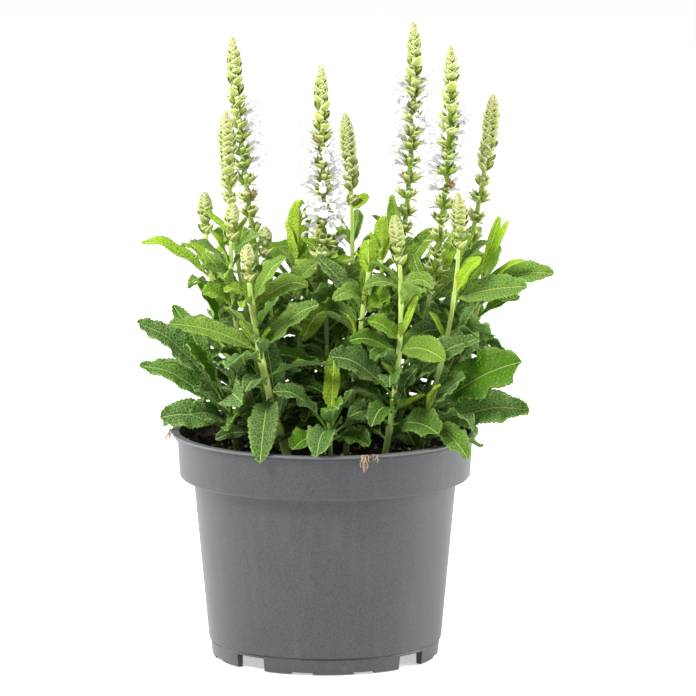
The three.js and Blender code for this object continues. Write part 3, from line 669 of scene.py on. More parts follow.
# ---- meshes -----------------------------------------------------------------------------------------------
class Skin:
    """Gathers closed surfaces into one mesh. Each point also has a place on its surface, and tones."""

    def __init__(self, *finishes):
        self.finishes = finishes
        self.points, self.faces, self.finish, self.place, self.tones = [], [], [], [], {}
        self.count = 0

    def add(self, points, faces, finish, place=None, **tones):
        """points (n, 3); faces, a list of arrays of corners, (m, 3) or (m, 4); tones, numbers or arrays."""
        n = len(points)
        for name in set(tones) - set(self.tones):
            self.tones[name] = [np.zeros(self.count)]
        for name, values in self.tones.items():
            values.append(np.broadcast_to(np.asarray(tones.get(name, 0.0), float), n))
        self.points.append(points)
        self.place.append(np.zeros((n, 2)) if place is None else place)
        for block in faces:
            self.faces.append(block + self.count)
            self.finish.append(np.full(len(block), self.finishes.index(finish)))
        self.count += n

    def mesh(self, name):
        """The gathered surfaces as one smooth mesh in metres, with places as UV and tones as attributes."""
        points = (np.concatenate(self.points) + POT_AXIS) * MM
        corners = np.concatenate([block.ravel() for block in self.faces])
        sizes = np.concatenate([np.full(len(block), block.shape[1]) for block in self.faces])
        mesh = bpy.data.meshes.new(name)
        mesh.vertices.add(len(points))
        mesh.vertices.foreach_set("co", points.ravel())
        mesh.loops.add(len(corners))
        mesh.loops.foreach_set("vertex_index", corners.astype(np.int32))
        mesh.polygons.add(len(sizes))
        mesh.polygons.foreach_set("loop_start", (np.cumsum(sizes) - sizes).astype(np.int32))
        mesh.polygons.foreach_set("material_index", np.concatenate(self.finish).astype(np.int32))
        mesh.polygons.foreach_set("use_smooth", np.ones(len(sizes), bool))
        places = np.concatenate(self.place)[corners]
        mesh.uv_layers.new(name="place").data.foreach_set("uv", places.ravel())
        for tone, values in self.tones.items():
            mesh.attributes.new(tone, "FLOAT", "POINT").data.foreach_set("value", np.concatenate(values))
        for finish in self.finishes:
            mesh.materials.append(finish)
        mesh.update(calc_edges=True)
        return mesh

    def piece(self, name, slot, nodes=()):
        """The finished piece, riding on the root body and standing for the CAD nodes named."""
        piece = bpy.data.objects.new(name, self.mesh(name))
        bpy.context.scene.collection.objects.link(piece)
        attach(piece, "root")
        if nodes:
            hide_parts(*nodes)
        return piece


def tube_faces(rings, around):
    """Quads between rings of points, and a fan to one more point at each end: the tube's last two points."""
    row, k = np.meshgrid(np.arange(rings - 1), np.arange(around), indexing="ij")
    after = (k + 1) % around
    below, above = row * around, (row + 1) * around
    quads = np.stack([below + k, below + after, above + after, above + k], -1)
    k = np.arange(around)
    first, last = rings * around, rings * around + 1
    start = np.stack([(k + 1) % around, k, np.full(around, first)], -1)
    top = (rings - 1) * around
    end = np.stack([top + k, top + (k + 1) % around, np.full(around, last)], -1)
    return [quads.reshape(-1, 4), np.concatenate([start, end])]


def tube(rings, start=None, end=None):
    """A closed tube through rings (n, m, 3), counter-clockwise from its end, with a point at each end."""
    start = rings[0].mean(0) if start is None else start
    end = rings[-1].mean(0) if end is None else end
    points = np.concatenate([rings.reshape(-1, 3), [start, end]])
    return points, tube_faces(*rings.shape[:2])


def shell(top, under):
    """A closed thin shell between two grids (n, m, 3): its rings run under it and back over the top."""
    rings = np.concatenate([under, top[:, ::-1]], axis=1)
    return tube(rings)


def rings_round(point, side, front, radius, angle):
    """Rings of points round a line: point + side radius cos(angle) + front radius sin(angle)."""
    aside = side[:, None] * (radius * np.cos(angle))[..., None]
    forward = front[:, None] * (radius * np.sin(angle))[..., None]
    return point[:, None] + aside + forward


def cross_frame(curve, t):
    """Points, headings, and two directions square to the heading: side is the part of +X square to it."""
    along = heading(curve, t)
    side = unit(np.array([1.0, 0, 0]) - along * along[:, :1])
    return bezier(curve, t), along, side, np.cross(along, side)


# ---- stems ------------------------------------------------------------------------------------------------
def add_stem(skin, shoot, finish):
    """Square stem: radius h / (|cos|^5 + |sin|^5)^(1/5), grooved down each face and swollen at each leaf."""
    length = np.linalg.norm(shoot.curve[2] - shoot.curve[0]) * shoot.end
    rows, around = int(length / 2.2) + 4, 16
    t = np.linspace(0.02, 1, rows) * shoot.end
    point, _, side, front = cross_frame(shoot.curve, t)
    radius = lerp(STEM_BASE_RADIUS, STEM_TOP_RADIUS, t / shoot.end)
    half_side = 0.7 * radius * STOUT.get(shoot.name, 1.0)
    roots = np.array([leaf.root[2] for leaf in shoot.leaves if not leaf.small] or [0.0])
    swelling = np.exp(-((point[:, 2, None] - roots[None]) / 2.0) ** 2).max(1)
    half_side = half_side * (1 + 0.2 * swelling)
    angle = ring_angles(around)
    square = (abs(np.cos(angle)) ** 5 + abs(np.sin(angle)) ** 5) ** -0.2
    groove = np.cos(2 * angle) ** 8
    outline = half_side[:, None] * (square - 0.12 * groove)
    points, faces = tube(rings_round(point, side, front, outline, np.broadcast_to(angle, (rows, around))))
    height = points[:, 2]
    place = np.stack([np.tile(angle, rows + 1)[:len(points)], height], -1)
    fresh = smooth(128, 205, height + FRESH_BY.get(shoot.name, 0)) * (1 - STEM_AGE.get(shoot.name, 0.0))
    skin.add(points, faces, finish, place, young=fresh,
             knot=np.append(np.repeat(swelling, around), [0, 0]),
             ridge=np.append(np.tile(1 - groove, rows), [0, 0]))
    add_hairs(skin, finish, point[3:], side[3:], front[3:], half_side[3:] * 1.04, shoot.top)


def add_hairs(skin, finish, point, side, front, radius, seed):
    """Short hairs that stand out from a stem: three-sided spikes at seeded places round it."""
    count = 4 * len(point)
    n = np.arange(count)
    row = (draw(n + seed) * (len(point) - 1)).astype(int)
    angle = 2 * np.pi * draw(n * 1.7 + seed)
    out = side[row] * np.cos(angle)[:, None] + front[row] * np.sin(angle)[:, None]
    up = np.cross(side[row], front[row])
    aside = np.cross(up, out)
    above = up * (2 * draw(n * 2.3 + seed) - 1)[:, None]
    foot = point[row] + out * (radius[row] * 0.95)[:, None] + above
    long = lerp(0.5, 1.1, draw(n * 0.7 + seed))[:, None]
    base = [foot + 0.05 * (aside * np.cos(a) + up * np.sin(a)) for a in (0, 2.1, 4.2)]
    tip = foot + long * unit(out + 0.5 * up * (draw(n + 3.1)[:, None] - 0.6))
    points = np.stack([*base, tip], axis=1).reshape(-1, 3)
    corners = np.array([[0, 2, 1], [0, 1, 3], [1, 2, 3], [2, 0, 3]])
    faces = (corners[None] + 4 * n[:, None, None]).reshape(-1, 3)
    skin.add(points, [faces], finish, young=1.0, knot=1.0)


# ---- leaves -----------------------------------------------------------------------------------------------
def round_blade(top, under):
    """Rings round a blade: over its top from right to left, and back under it without its two edges."""
    return np.concatenate([top[:, ::-1], under[:, 1:-1]], axis=1)


def pillow_form(q, out):
    """A blade's pillows, q side veins from its root and a distance out from its midrib:
    |sin(pi q)|^0.7 (0.45 + 0.55 |sin(pi r)|^0.7) - 0.4, where r = out / cell + 0.5 at every other q."""
    r = out / CELL_WIDTH + 0.5 * (np.floor(q) % 2)
    return abs(np.sin(np.pi * q)) ** 0.7 * (0.45 + 0.55 * abs(np.sin(np.pi * r)) ** 0.7) - 0.4


def add_leaf(skin, leaf, finish, seed):
    """A wrinkled blade. With v from -1 to 1 across it and w half its width there, its face rises by
    fold w (|v|^1.15 - 0.2 v^4), and in waves that grow with v^2. Its pillows lie between side veins, with
    q = (distance along - slant x distance out) / spacing and a slow wander. The midrib lies in a groove,
    every other row ends in a tooth, and the blade curls towards its tip."""
    length = np.linalg.norm(leaf.tip - leaf.root)
    leaf.twist = 0.7 * (draw(seed + 0.2) - 0.5)
    columns = 7 if leaf.small else 11
    rows = 2 * int(np.clip(length / lerp(2.0, 2.9, leaf.deep), 6, 30))
    grid = (rows, columns)
    s = np.linspace(0, 1, rows + 1)[:-1] ** 1.02
    v = np.linspace(-1, 1, columns)[None]
    point, across, out = leaf.frame(s)
    u = np.clip((s - leaf.stalk) / (1 - leaf.stalk), 0, 1)
    blade = smooth(0, 0.1, u)[:, None]
    blunt = leaf.width / 2 * np.sin(np.pi * u**0.94).clip(0) ** (0.5 if leaf.young < 0.9 else 0.42)
    half = np.maximum(blunt, 0.85 - 0.25 * s)[:, None]
    old = 1 - leaf.young
    big, broad = min(1.0, leaf.width / COMMON_WIDTH), min(1.9, leaf.width / COMMON_WIDTH)
    distance = (s * length)[:, None]

    wander = 0.25 * np.sin(distance / 2.9 + seed) + 0.2 * np.sin(distance / 1.7 + 2 * v + 2 * seed)
    q = (distance - SIDE_VEIN_SLANT * abs(v) * half) / SIDE_VEIN_SPACING + wander
    q_edge = (distance - SIDE_VEIN_SLANT * half) / SIDE_VEIN_SPACING
    every_other = np.where(np.arange(rows) % 2, 1.0, -1.0)[:, None]
    tooth = blade * (0.08 + 0.2 * old) * broad**0.5 * every_other
    wide = half + tooth * abs(v) ** 8
    waves = 5 if leaf.width > 11 else 4
    wave_height = lerp(0.8, 2.1, draw(seed + 0.6)) * leaf.wave * broad
    side = np.where(v < 0, 0.9 * draw(seed + 0.7), 0)
    ripple = wave_height * np.cos(np.pi * (u[:, None] * waves - 1 + side))
    ripple = ripple + 0.85 * old * big**2 * np.sin(1.9 * q_edge + seed + v)
    fold = BLADE_FOLD * (1 + 0.6 * leaf.young)
    lift = fold * wide * (abs(v) ** 1.15 - 0.2 * abs(v) ** 4) + ripple * blade * v**2
    pillow = pillow_form(q, abs(v) * half)
    shape = np.sin(np.pi * np.clip(abs(v), 0.001, 1) ** 0.7).clip(0) ** 0.5
    on_rib = np.exp(-((v * wide) / RIB_WIDTH) ** 2)
    relief = blade * 0.045 * leaf.width * (0.3 + 0.7 * old) * pillow * shape
    relief = relief - blade * 0.35 * on_rib
    curl = lerp(-0.15, 0.04, draw(seed + 0.4)) * length * smooth(0.55, 1.0, s)[:, None] ** 2
    rise = lift + relief + curl
    stalk_thick = np.sqrt(np.clip(1 - 0.9 * v**2, 0, 1))
    blade_thick = 0.32 + 0.7 * on_rib * (1 - 0.6 * u[:, None])
    thick = lerp(stalk_thick, blade_thick, blade)

    middle = point[:, None] + across[:, None] * (v * wide)[..., None]
    top = middle + out[:, None] * rise[..., None]
    under = middle + out[:, None] * (rise - thick)[..., None]
    tip = leaf.tip + out[-1] * (curl[-1, 0] + fold * 0.2)
    points, faces = tube(round_blade(top, under), start=point[0], end=tip)
    place = np.stack([np.broadcast_to(v * half, grid), np.broadcast_to(distance, grid)], -1)
    place = np.concatenate([round_blade(place, place).reshape(-1, 2), [[0, 0], [0, length]]])
    edge = np.broadcast_to(abs(v) ** 6 * blade, grid)
    raised = np.broadcast_to((pillow * shape) * blade, grid)
    under_side = round_blade(np.zeros(grid), np.ones(grid))
    on_stalk = np.repeat(1 - blade[:, 0], 2 * columns - 2)
    skin.add(points, faces, finish, place, young=leaf.young, deep=leaf.deep,
             own=draw(seed) if leaf.own is None else leaf.own,
             under=np.append(under_side, [1, 0]), petiole=np.append(on_stalk, [1, 0]),
             edge=np.append(round_blade(edge, edge), [0, 1]),
             raised=np.append(round_blade(raised, raised), [0, 0]))


# ---- flower spikes ----------------------------------------------------------------------------------------
def whorls_of(shoot):
    """How far below the tip each whorl sits, and whether it stands open below the head."""
    head = HEAD[shoot.kind]
    whorls, down = [], 2.2
    while down < shoot.spike - 2:
        is_open = down > head["length"]
        whorls.append((down, is_open))
        spacing = SCALE_SPACING
        if is_open:
            spacing = lerp(head["apart"], head["far_apart"], min(1, (down - head["length"]) / 60))
        down += spacing * (1 + 0.14 * (draw(len(whorls)) - 0.5))
        if not is_open and down > head["length"]:
            down += 1.5
    return whorls


class Spot:
    """A place on a spike that faces out at an angle: local x runs out of the rachis, y aside, z up it."""

    def __init__(self, shoot, down, angle, scale=1.0, tilt=0.0):
        t = share_at_height(shoot.curve, np.array([shoot.curve[2][2] - down]))
        point, along, side, front = cross_frame(shoot.curve, t)
        self.point, self.up = point[0] + along[0] * max(0.0, -down), along[0]
        self.out = side[0] * np.cos(angle) + front[0] * np.sin(angle)
        self.aside = np.cross(self.up, self.out)
        self.scale, self.tilt = scale, tilt

    def put(self, local):
        """Local points, scaled, tilted up and moved to the spot."""
        local = local * self.scale
        cos, sin = np.cos(self.tilt), np.sin(self.tilt)
        x, y, z = local[..., :1], local[..., 1:2], local[..., 2:]
        return self.point + (x * cos - z * sin) * self.out + y * self.aside + (z * cos + x * sin) * self.up


def bract_form(length, width, lean, droop, cup, foot, rows=7, columns=5, taper=0.75):
    """A pointed oval scale, p of the way up it and w from -1 to 1 across it. Its middle line leans out from
    the rachis, by lean at its foot and by droop at its point. Its half width is
    (0.77 + 0.52 taper) width p^0.5 (1 - p)^taper, and its sides turn in by cup x half width x w^2."""
    p = np.linspace(0, 1, rows)
    angle = lerp(lean, droop, p)
    steps = length / (rows - 1) * np.stack([np.sin(angle), 0 * p, np.cos(angle)], -1)
    line = np.concatenate([np.zeros((1, 3)), np.cumsum((steps[1:] + steps[:-1]) / 2, 0)]) + [foot, 0, 0]
    inwards = np.stack([-np.cos(angle), 0 * p, np.sin(angle)], -1)[:, None]
    p, w = p[:, None], np.linspace(-1, 1, columns)[None]
    half = (0.77 + 0.52 * taper) * width * (p + 0.02) ** 0.5 * (1.01 - p) ** taper
    fold = cup * half * w**2 + 0.1 * width * (abs(w) - 1) * (1 - p) - 0.1 * abs(w) ** 4
    outer = line[:, None] + inwards * fold[..., None] + np.array([0, 1.0, 0]) * (half * w)[..., None]
    inner = outer + inwards * (0.3 - 0.12 * w**2)[..., None]
    edge = np.maximum(abs(w) ** 3 + 0 * p, smooth(0.8, 1, p) + 0 * w)
    return outer, inner, edge, p + 0 * w


def column(*values):
    """The values one below the other, one for each ring."""
    return np.array(values, float)[:, None]


def calyx_form(rise, openness=1.0):
    """A ribbed cup with two pointed lips and a throat inside, of six rings, that leans up from the rachis by
    rise. Gives its points and, for each, how near the rim, how deep inside and how near the foot it is."""
    angle = (ring_angles(8) + np.pi / 2)[None]
    tooth = np.cos(2 * (angle - np.pi / 2))
    along = column(0.0, 1.0, 3.2, 5.6, 5.3, 2.6) + column(0, 0, 0, 1.35, 1.2, 0) * tooth
    radius = column(0.5, 1.15, 1.5, 1.55, 1.3, 0.5) * column(1, 1, 1, openness, openness, 1)
    radius = radius * (1 + column(0.05, 0.1, 0.1, -0.05, -0.05, 0) * tooth)
    flat_x, flat_z = along + 0 * angle, 0.86 * radius * np.sin(angle)
    cos, sin = np.cos(rise), np.sin(rise)
    x = 0.9 + flat_x * cos - flat_z * sin
    z = -1.8 + flat_x * sin + flat_z * cos
    rim = (column(0, 0.05, 0.15, 1.0, 0.5, 0) + 0.2 * abs(tooth)).clip(0, 1)
    # painted shade: the inside of the cup is marked to be painted dark
    inner = column(0, 0, 0, 0, 0.45, 1.0) + 0 * angle
    foot = (column(1.0, 0.8, 0.5, 0.2, 0.3, 1) - 0.3 * tooth).clip(0, 1)
    return np.stack([x, radius * np.cos(angle), z], -1), rim, inner, foot


def both_faces(grid, ends):
    """Values of a scale's grid for its two faces, in the order shell makes its points."""
    return np.append(np.concatenate([grid, grid[:, ::-1]], 1).ravel(), ends)


def add_scale(skin, finish, spot, form, green, pale=0.0, tan=0.0, rimmed=1.0):
    """A bract at a spot. green is its tone at its point and at its foot."""
    outer, inner, edge, p = form
    at_point, at_foot = green
    points, faces = shell(spot.put(inner), spot.put(outer))
    tone = np.clip(at_point + (at_foot - at_point) * (1 - p) ** 2, 0, 1)
    skin.add(points, faces, finish, green=both_faces(tone, [at_foot, at_point]),
             rim=both_faces(rimmed * edge, [0, 1]), pale=pale, tan=tan)


def add_calyx(skin, finish, spot, rise, openness, green, rimmed, rust=0.0):
    """A calyx at a spot. green is the tone of its lips, and how much deeper it is at its foot."""
    form, rim, inner, foot = calyx_form(rise, openness)
    points, faces = tube(spot.put(form), end=spot.put(form[-1].mean(0)))
    tone = np.append((green[0] + green[1] * foot.ravel()).clip(0, 1), [1, 1])
    skin.add(points, faces, finish, green=tone, rim=np.append(rimmed * rim.ravel(), [0, 0]),
             inner=np.append(inner.ravel(), [0, 1]), rust=rust)


def add_rachis(skin, shoot, finish, dense):
    """The spike's stalk, with four soft ribs, and a core that fills the dense head."""
    t = np.linspace(shoot.end, 0.999, int(shoot.spike / 1.5) + 5)
    point, _, side, front = cross_frame(shoot.curve, t)
    down = shoot.curve[2][2] - point[:, 2]
    angle = ring_angles(8)
    thin = RACHIS_RADIUS * lerp(1.0, 0.8, (t - shoot.end) / (1 - shoot.end))
    thin = np.where(down < 3, np.minimum(thin, 0.12 + 0.5 * down), thin)
    fat = np.minimum(0.5 * HEAD[shoot.kind]["slim"] * head_radius(shoot, down), 0.6 * down + 0.1)
    core = np.where(down < dense - 1, fat, 0)
    radius = np.maximum(thin, core)[:, None] * (1 + 0.1 * np.cos(4 * angle))[None]
    points, faces = tube(rings_round(point, side, front, radius, np.broadcast_to(angle, radius.shape)))
    low = np.append(np.repeat(smooth(0, 95, down), 8), [1, 0])
    # painted shade: the core among the dense head's scales is marked to be painted darker
    dark = np.append(np.repeat(np.where((down < dense) & (down > 5), 1.0, 0.0), 8), [0, 0])
    green = np.clip(0.42 + SPIKE_AGE.get(shoot.name, 0.0) + 0.4 * low, 0, 1)
    skin.add(points, faces, finish, green=green, inner=0.4 * dark)


def is_withered(shoot, down, facing):
    """Whether a calyx is a brown one: near their height, and within 37 degrees of the way they face."""
    return any(abs(down - at) < 3.6 and np.cos(facing - np.radians(way)) > 0.8
               for at, way in WITHERED.get(shoot.name, ()))


def add_whorl(skin, shoot, finish, k, down):
    """A pair of cupped bracts, with three calyces in each, or five on a bushy whorl."""
    head = HEAD[shoot.kind]
    chance = draw(np.arange(16) + 17 * k + shoot.spike)
    low = smooth(28, 80, down)
    fresh = 1 - smooth(head["length"] + 1, head["length"] + (26 if shoot.kind == "budded" else 17), down)
    bushy = smooth(BUSHY_FROM, BUSHY_TO, down) if shoot.name == BUSHY_SPIKE else 0.0
    bract = bract_form(BRACT_LENGTH, lerp(6.8, 3.4, low), lerp(1.1, 1.4, low),
                       lerp(0.05, 1.7, low) + 0.2 * (1 - fresh), lerp(0.42, 0.2, low), 1.1, columns=7)
    for half in (0, 1):
        out = np.radians(SPIKE_TURN[shoot.name]) + np.pi * half + np.pi / 2 * k
        spot = Spot(shoot, down + 2.8, out + 0.3 * (chance[half] - 0.5), lerp(0.94, 1.12, chance[12 + half]))
        add_scale(skin, finish, spot, bract, (0.02 + 0.1 * low, 0.4))
        for j, swing in enumerate((-0.66, 0.0, 0.66) if bushy < 0.5 else (-0.8, 0.0, 0.8, -0.4, 0.4)):
            own = 3 * half + j
            rise = np.radians(lerp(34, 62, chance[4 + own])) + np.radians(16) * fresh
            size = lerp(1.0, 1.22, chance[2 + own]) * lerp(1, 0.7, fresh) * (1 + 0.3 * bushy)
            facing = out + swing * lerp(1, 0.85, fresh) + 0.2 * (chance[5 + own] - 0.5)
            spot = Spot(shoot, down + (0.6 if j == 1 else -0.4), facing, size)
            shade = 0.34 * chance[own] + 0.04 * low
            add_calyx(skin, finish, spot, rise, lerp(0.85, 1.15, chance[8 + j]), (shade, 0.55), 0.9,
                      1.0 if is_withered(shoot, down, facing) else 0.0)


def add_collar(skin, shoot, finish):
    """What stands below a head that has no open whorls: two large bracts, two smaller ones, four calyces."""
    wing = bract_form(7.2, 6.4, 1.0, 0.2, 0.4, 1.0)
    flap = bract_form(5.2, 5.0, 1.2, 0.1, 0.45, 1.0)
    for half in (0, 1):
        across = np.pi * half + np.pi / 2
        add_scale(skin, finish, Spot(shoot, shoot.spike + 0.4, np.pi * half - 0.5), wing, (0.05, 0.7))
        add_scale(skin, finish, Spot(shoot, shoot.spike - 0.8, across + 0.2), flap, (0.12, 0.8))
        for swing in (-0.75, 0.75):
            spot = Spot(shoot, shoot.spike - 2.6, across + swing, 0.72)
            add_calyx(skin, finish, spot, np.radians(58), 0.9, (0.3, 0.6), 0.6)


def add_head(skin, shoot, finish, dense, whole):
    """The head from its foot up to its tip: pairs of overlapping bracts, each pair turned a quarter round
    from the last, with young bracts between them and, where a head in bud loosens, young calyces. A head that
    is a whole spike narrows at its foot."""
    head = HEAD[shoot.kind]
    lift, scale, dull = TIP_RISE.get(shoot.name, COMMON_TIP_RISE), head["scale"], head["dull"]
    in_bud = shoot.kind != "open"
    level, down = 0, dense
    while down > 1.6 - lift:
        swell = smooth(0, 13, down + lift)
        loose = smooth(head["loose_from"], 1.0, down / dense) if in_bud else 0.0
        length = scale * lerp(3.0, 6.2, swell) * (1 + 0.35 * loose)
        radius = head["slim"] * float(scale_radius(shoot, np.array(max(down + lift - 0.45 * length, 0.7))))
        if whole:
            radius *= 1 - 0.25 * smooth(0.75, 1.05, down / dense)
        low = smooth(2, 16, down)
        foot = max(radius - 0.5 * length, 0.2)
        droop = lerp(-0.45, 0.02, low) + 0.15 * loose
        if in_bud:
            width = (1.1 * radius + 0.3) * (1 + 0.35 * loose)
            bract = bract_form(length, width, 1.25, droop, 0.4, foot, taper=1.05)
            young = bract_form(0.85 * length, 0.8 * radius, 1.15, -0.2, 0.45, 0.9 * foot, 5, 3, taper=1.05)
        else:
            bract = bract_form(length, 1.36 * radius + 0.3, 1.25, droop, 0.4, foot)
            young = bract_form(0.85 * length, 0.9 * radius, 1.15, -0.2, 0.45, 0.9 * foot, rows=5)
        aged = 0.12 + 0.12 * low + dull + 0.3 * SPIKE_AGE.get(shoot.name, 0.0)
        green = (aged, 0.42 + 0.28 * low + dull)
        for half in (0, 1):
            out = np.radians(SPIKE_TURN[shoot.name]) + np.pi * half + np.pi / 2 * level
            chance = draw(31 * level + 7 * half + shoot.spike + np.arange(5))
            spot = Spot(shoot, down + 0.7 * scale * (chance[0] - 0.5), out + 0.4 * (chance[1] - 0.5),
                        lerp(0.88, 1.1, chance[2]))
            add_scale(skin, finish, spot, bract, green, (1 - 0.7 * low) * (1 - 4 * dull),
                      TAN.get(shoot.name, COMMON_TAN), 1 - 2 * dull)
            for j in (0, 1):
                aside = out + (1 - 2 * j) * lerp(0.62, 0.82, chance[3 + j])
                spot = Spot(shoot, down - 0.3 * length, aside)
                add_scale(skin, finish, spot, young, (0.1 + 0.25 * low, 0.3 + 0.6 * low), 1 - 0.6 * low)
                if loose > 0.35:
                    spot = Spot(shoot, down - 1.0, aside, 0.8)
                    add_calyx(skin, finish, spot, np.radians(62), 0.9, (0.15 + 0.3 * chance[j], 0.55), 0.8)
        level += 1
        down -= scale * lerp(0.95, 1.9 if in_bud else 2.35, swell) * (1 + 1.5 * loose)


def add_spike(skin, shoot, finish):
    """The rachis, the open whorls or a collar, and the head above them."""
    whorls = whorls_of(shoot)
    opens = [down for down, is_open in whorls if is_open]
    dense = min(HEAD[shoot.kind]["length"], shoot.spike - 6)
    add_rachis(skin, shoot, finish, dense)
    for k, (down, is_open) in enumerate(whorls):
        if is_open:
            add_whorl(skin, shoot, finish, k, down)
    if opens:
        add_head(skin, shoot, finish, opens[0] - 1.5, False)
    else:
        add_collar(skin, shoot, finish)
        add_head(skin, shoot, finish, dense, True)


def lobe(line, half, hollow, columns=5, thick=0.28):
    """A petal lobe along a line in the x-z plane: half its width at each point, its sides raised by
    hollow x half width x w^2."""
    w = np.linspace(-1, 1, columns)[None, :, None]
    step = unit(np.gradient(line, axis=0))[:, None]
    up = np.stack([-step[..., 2], 0 * step[..., 0], step[..., 0]], -1)
    half = half[:, None, None]
    top = line[:, None] + np.array([0, 1.0, 0]) * (half * w) + up * (hollow * half * w**2)
    return top, top - up * thick


def floret_forms():
    """One floret as closed shells: the tube that widens into the throat, the arched hood, the broad spoon of
    the lower lip, and the two side lobes. q runs from each lobe's foot to its tip."""
    p = np.linspace(0, 1, 5)[:, None]
    angle = ring_angles(8)[None]
    radius = 0.65 + 0.75 * p**1.4
    x = 2.6 + 4.8 * p - radius * np.sin(angle) * 0.5
    throat = np.stack([x, radius * np.cos(angle) * 0.95, 0.7 + 2.1 * p + radius * np.sin(angle) * 0.9], -1)

    q = np.linspace(0, 1, 7)
    line = np.stack([6.6 + 4.6 * q, 0 * q, 3.6 + 3.6 * q - 2.6 * q**3], -1)
    hood = lobe(line, 0.5 + 0.85 * np.sin(np.pi * q**0.8) ** 0.8, -0.9)
    q = np.linspace(0, 1, 8)
    line = np.stack([6.8 + 4.4 * q - 0.7 * q**3, 0 * q, 1.7 - 0.1 * q - 3.2 * q**2], -1)
    spoon = lobe(line, 0.55 + 1.35 * np.sin(np.pi * (0.92 * q) ** 1.7) ** 0.8, 0.42, columns=7)
    q = np.linspace(0, 1, 5)
    foot = 6.6
    ear = lobe(np.stack([foot + 1.5 * q, 0 * q, 1.9 - 0.6 * q**2], -1), 0.45 + 0.75 * np.sin(np.pi * q), 0.3)
    ears = []
    for sign in (-1, 1):
        cos, sin = np.cos(0.95 * sign), np.sin(0.95 * sign)
        moved = []
        for grid in ear:
            x, y, z = grid[..., 0] - foot, grid[..., 1], grid[..., 2]
            moved.append(np.stack([foot + x * cos - y * sin, x * sin * 1.5 + y * cos, z], -1))
        ears.append(moved)
    return throat, [hood, spoon, *ears]


def thread_rings(line, radius):
    """Three-sided rings round a line that runs roughly along x."""
    angle = ring_angles(3)
    circle = np.stack([0 * angle, np.cos(angle), np.sin(angle)], -1)[None]
    return line[:, None] + radius * circle


def add_floret(skin, spot, forms, petal, anther):
    """A white two-lipped floret with two stamens under its hood."""
    throat, lobes = forms
    # painted shade: the throat is shaded all over, each lobe more towards its foot, and the threads a little
    skin.add(*tube(spot.put(throat)), petal, inner=0.25)
    for top, under in lobes:
        rows, columns = top.shape[:2]
        shade = np.repeat(0.75 * np.linspace(1, 0, rows) ** 1.5, 2 * columns)
        skin.add(*shell(spot.put(top), spot.put(under)), petal, inner=np.append(shade, [0.75, 0]))
    q = np.linspace(0, 1, 4)[:, None]
    for aside in (-0.5, 0.5):
        line = np.concatenate([7.6 + 2.8 * q, aside * (1 - 0.4 * q), 2.6 + 2.2 * q - 1.0 * q**2], 1)
        skin.add(*tube(spot.put(thread_rings(line, 0.1))), petal, inner=0.1)
        line = line[-1] + np.array([[-0.3, 0, 0], [0.05, 0, 0], [0.4, 0, 0.1]])
        skin.add(*tube(spot.put(thread_rings(line, np.array([0.1, 0.22, 0.08])[:, None, None]))), anther)


def add_florets(skin, shoot, petal, anther):
    """Florets on the whorls in bloom, at eight places round each, in two tiers."""
    forms = floret_forms()
    begin, end, at_front, at_left, at_right, at_back = BLOOM[shoot.name]
    for k, (down, is_open) in enumerate(whorls_of(shoot)):
        if not (is_open and begin - 3 < down < end + 3):
            continue
        fading = 1 - 0.5 * smooth(end - 12, end + 3, down) - 0.5 * (1 - smooth(begin - 3, begin + 6, down))
        for place in range(FLORET_PLACES):
            side, tier = place % 8, place // 8
            stray = np.radians(24 * (draw(k * 3 + place) - 0.5))
            angle = (side + 0.5 * ((k + tier) % 2)) / 8 * 2 * np.pi + stray
            x, y = np.cos(angle), np.sin(angle)
            share = at_left if x < 0 else at_right
            if abs(y) > 0.6:
                share = at_front if y < 0 else at_back
            if draw(k + 7 * place + shoot.spike) > 0.5 * share * fading:
                continue
            size = lerp(0.98, 1.28, draw(5.3 * k + place))
            below = down - 0.6 + 3 * tier + 1.6 * (draw(place + 11 * k) - 0.5)
            tilt = np.radians(lerp(-10, 12, draw(2.1 * place + k)))
            add_floret(skin, Spot(shoot, below, angle, size, tilt), forms, petal, anther)


# ---- pot --------------------------------------------------------------------------------------------------
def pot_profile():
    """The pot's closed profile as radius and height: the foot, up the outside to the lip, and down inside."""
    foot_inner = FOOT_RADIUS - FOOT_WALL
    band_bottom = POT_HEIGHT - BAND_HEIGHT
    under_lip = POT_HEIGHT - LIP_THICKNESS
    return [
        (foot_inner, FOOT_HEIGHT - 1),
        (foot_inner, 0),
        (FOOT_RADIUS - 1, 0),
        (FOOT_RADIUS, FOOT_HEIGHT - 0.6),
        (FOOT_RADIUS - 0.4, FOOT_HEIGHT),
        (BODY_BOTTOM_RADIUS, FOOT_HEIGHT + 0.6),
        (BODY_TOP_RADIUS - 0.3, band_bottom - 1.6),
        (BODY_TOP_RADIUS + 0.6, band_bottom - 0.2),
        (BAND_BOTTOM_RADIUS - 0.8, band_bottom),
        (BAND_BOTTOM_RADIUS, band_bottom + 1.2),
        (BAND_TOP_RADIUS, under_lip - 1.4),
        (LIP_RADIUS - 0.2, under_lip),
        (LIP_RADIUS, POT_HEIGHT),
        (BAND_TOP_RADIUS - WALL, POT_HEIGHT),
        (BAND_BOTTOM_RADIUS - WALL, band_bottom + WALL),
        (BODY_TOP_RADIUS - WALL, band_bottom + WALL),
        (BODY_BOTTOM_RADIUS - WALL, FOOT_HEIGHT + WALL),
    ]


def rounded_profile(profile, size, steps=4):
    """A closed profile with each corner replaced by a quadratic curve that meets its sides size away."""
    points = np.array(profile, float)
    before, after = np.roll(points, 1, 0), np.roll(points, -1, 0)
    result = []
    for a, b, c in zip(before, points, after):
        reach_a, reach_c = np.linalg.norm(a - b), np.linalg.norm(c - b)
        cut = min(size, 0.4 * reach_a, 0.4 * reach_c)
        curve = (b + (a - b) / reach_a * cut, b, b + (c - b) / reach_c * cut)
        result.append(bezier(curve, np.linspace(0, 1, steps)))
    return np.concatenate(result)


